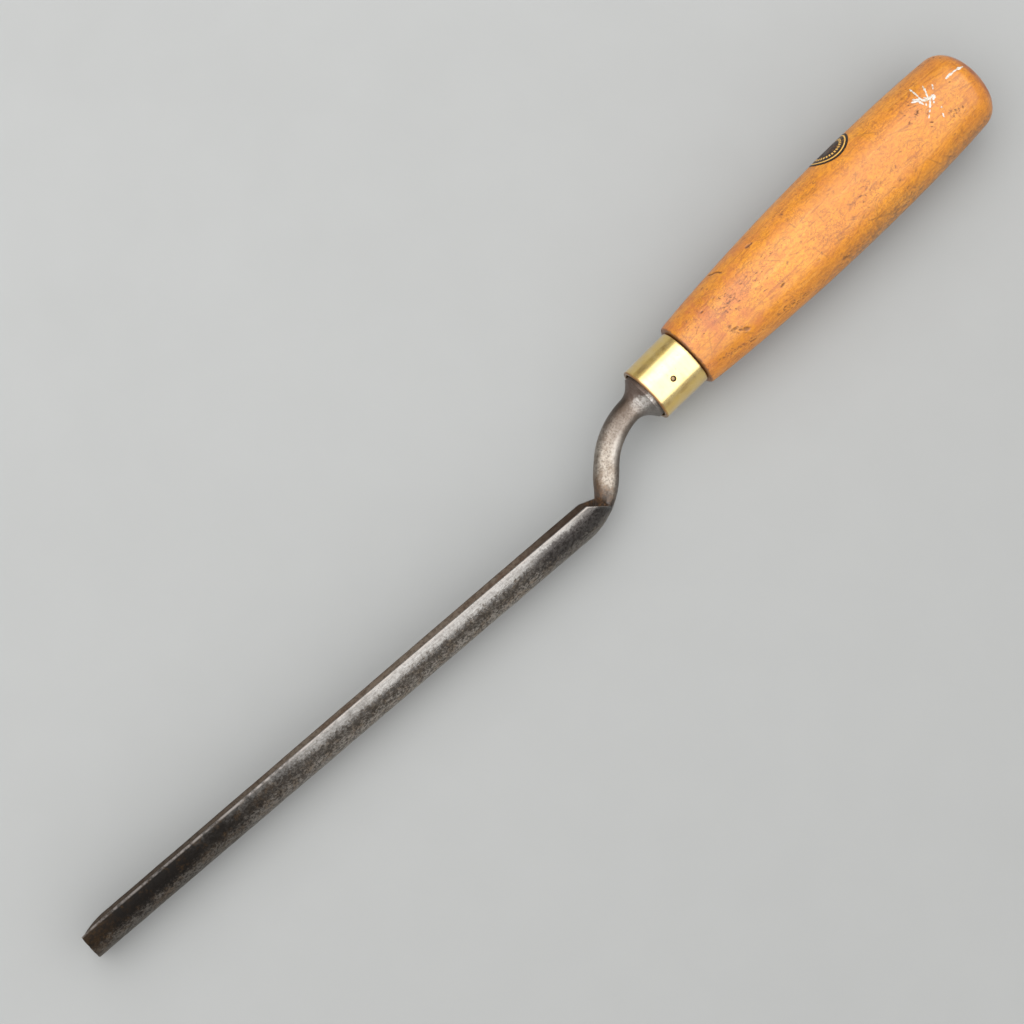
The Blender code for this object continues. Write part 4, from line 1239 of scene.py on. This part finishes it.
def floor_surface():
    s = Surface("pale_surface")
    # Painted light falloff: the floor is lighter towards +Y, where the light is strongest
    painted_light_falloff = s.y.ramp(-0.30, 0.30)
    colour = s.blend(painted_light_falloff, (0.2256, 0.2284, 0.2242), (0.284, 0.2877, 0.284))
    clouds = s.noise(9.0, 4.0, 0.6).ramp(0.3, 0.7, 0.0, 0.35)
    colour = s.blend(clouds, colour, (0.246, 0.249, 0.2444))
    roughness = s.noise(60.0, 3.0, 0.5).ramp(0.3, 0.7, 0.72, 0.82)
    normal = s.bump(s.noise(900.0, 3.0, 0.6), 0.04, 0.05 * MM)
    return s.finish(Base_Color=colour, Roughness=roughness, Normal=normal, Specular_IOR_Level=0.25)


def make_floor():
    corners = [(x * FLOOR_HALF, y * FLOOR_HALF, 0.0) for x, y in ((-1, -1), (1, -1), (1, 1), (-1, 1))]
    floor = make_object("pale_floor", corners, [(0, 1, 2, 3)], Matrix.Identity(4))
    floor.data.materials.append(floor_surface())


def make_panel(name, near, far, radiance):
    """Soft level panel above the tool, from one distance across it to another."""
    light = bpy.data.lights.new(name, "AREA")
    light.shape = "RECTANGLE"
    light.size = PANEL_END - PANEL_START
    light.size_y = abs(far - near)
    light.energy = math.pi * light.size * light.size_y * radiance
    lamp = bpy.data.objects.new(name, light)
    bpy.context.scene.collection.objects.link(lamp)
    lamp.location = ((PANEL_START + PANEL_END) / 2.0, (near + far) / 2.0, PANEL_HEIGHT)


def make_lights():
    """One wide panel in three strips, the brightest on the side that the hollow faces, in a dim room."""
    middle = PANEL_HEIGHT * math.tan(LEFT_MIDDLE)
    make_panel("left_edge", middle, PANEL_HEIGHT * math.tan(LEFT_REACH), EDGE_RADIANCE)
    make_panel("left_panel", 0.0, middle, LEFT_RADIANCE)
    make_panel("right_panel", 0.0, -PANEL_HEIGHT * math.tan(RIGHT_REACH), RIGHT_RADIANCE)
    world = bpy.data.worlds.new("dim_room")
    world.use_nodes = True
    background = world.node_tree.nodes["Background"]
    background.inputs["Color"].default_value = (*ROOM_COLOUR, 1.0)
    bpy.context.scene.world = world
    bpy.context.scene.view_settings.view_transform = "Standard"


def make_camera():
    right = Vector((math.cos(CAMERA_TURN), -math.sin(CAMERA_TURN), 0.0))
    level = Vector((math.sin(CAMERA_TURN), math.cos(CAMERA_TURN), 0.0))
    straight_up = Vector((0.0, 0.0, 1.0))
    forward = level * math.sin(CAMERA_TILT) - straight_up * math.cos(CAMERA_TILT)
    up = level * math.cos(CAMERA_TILT) + straight_up * math.sin(CAMERA_TILT)
    data = bpy.data.cameras.new("camera")
    data.angle = 2.0 * math.atan(PICTURE_HALF / FOCAL_PIXELS)
    camera = bpy.data.objects.new("camera", data)
    bpy.context.scene.collection.objects.link(camera)
    turn = Matrix((right, up, -forward)).transposed().to_4x4()
    camera.matrix_world = Matrix.Translation(CAMERA_TARGET - forward * CAMERA_DISTANCE) @ turn
    bpy.context.scene.camera = camera


def add(piece, slot, material, *nodes):
    """Finish a piece and tie it to the frame."""
    piece.data.materials.clear()
    piece.data.materials.append(material)
    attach(piece, "root")
    if nodes:
        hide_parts(*nodes)


# The handle's axis and the mount on the ferrule's end face place the tool as the frame has it
mount = frame["record"]["mounts"][0]
HANDLE_DIRECTION = -Vector(mount["axis"])
HANDLE_ANGLE = math.acos(HANDLE_DIRECTION.x)
ROLL = Matrix.Rotation(math.atan2(HANDLE_DIRECTION.z, HANDLE_DIRECTION.y), 4, "X")
FERRULE_FRONT = upper_bend_rings()[1]
mount_point = FERRULE_FRONT + np.array((0.0, 0.0, MOUNT_RADIUS))
TOOL = Matrix.Translation(Vector(mount["pos_m"]) - ROLL @ Vector(mount_point)) @ ROLL
HANDLE = TOOL @ Matrix.Translation(FERRULE_FRONT) @ Matrix.Rotation(HANDLE_ANGLE, 4, "Z")
PIN_STAND = (Matrix.Translation((PIN_PLACE, 0.0, 0.0)) @ Matrix.Rotation(PIN_ANGLE, 4, "X")
             @ Matrix.Rotation(-math.pi / 2.0, 4, "Y"))

bright_brass = brass_surface("bright_brass", (0.87, 0.67, 0.29), (0.64, 0.42, 0.14), 0.55)
dull_brass = brass_surface("dull_brass", (0.26, 0.165, 0.072), (0.16, 0.096, 0.040), 0.8)
add(make_blade(), "steel", steel_surface(), "gouge_blade")
add(make_handle(), "boxwood", wood_surface(), "handle")
add(make_ferrule(), "brass", bright_brass, "ferrule")
add(make_pin(), "pin_brass", dull_brass, "ferrule_pin")
add(make_oval(), None, oval_surface())
add(make_paint(), None, paint_surface())
make_floor()
make_lights()
make_camera()
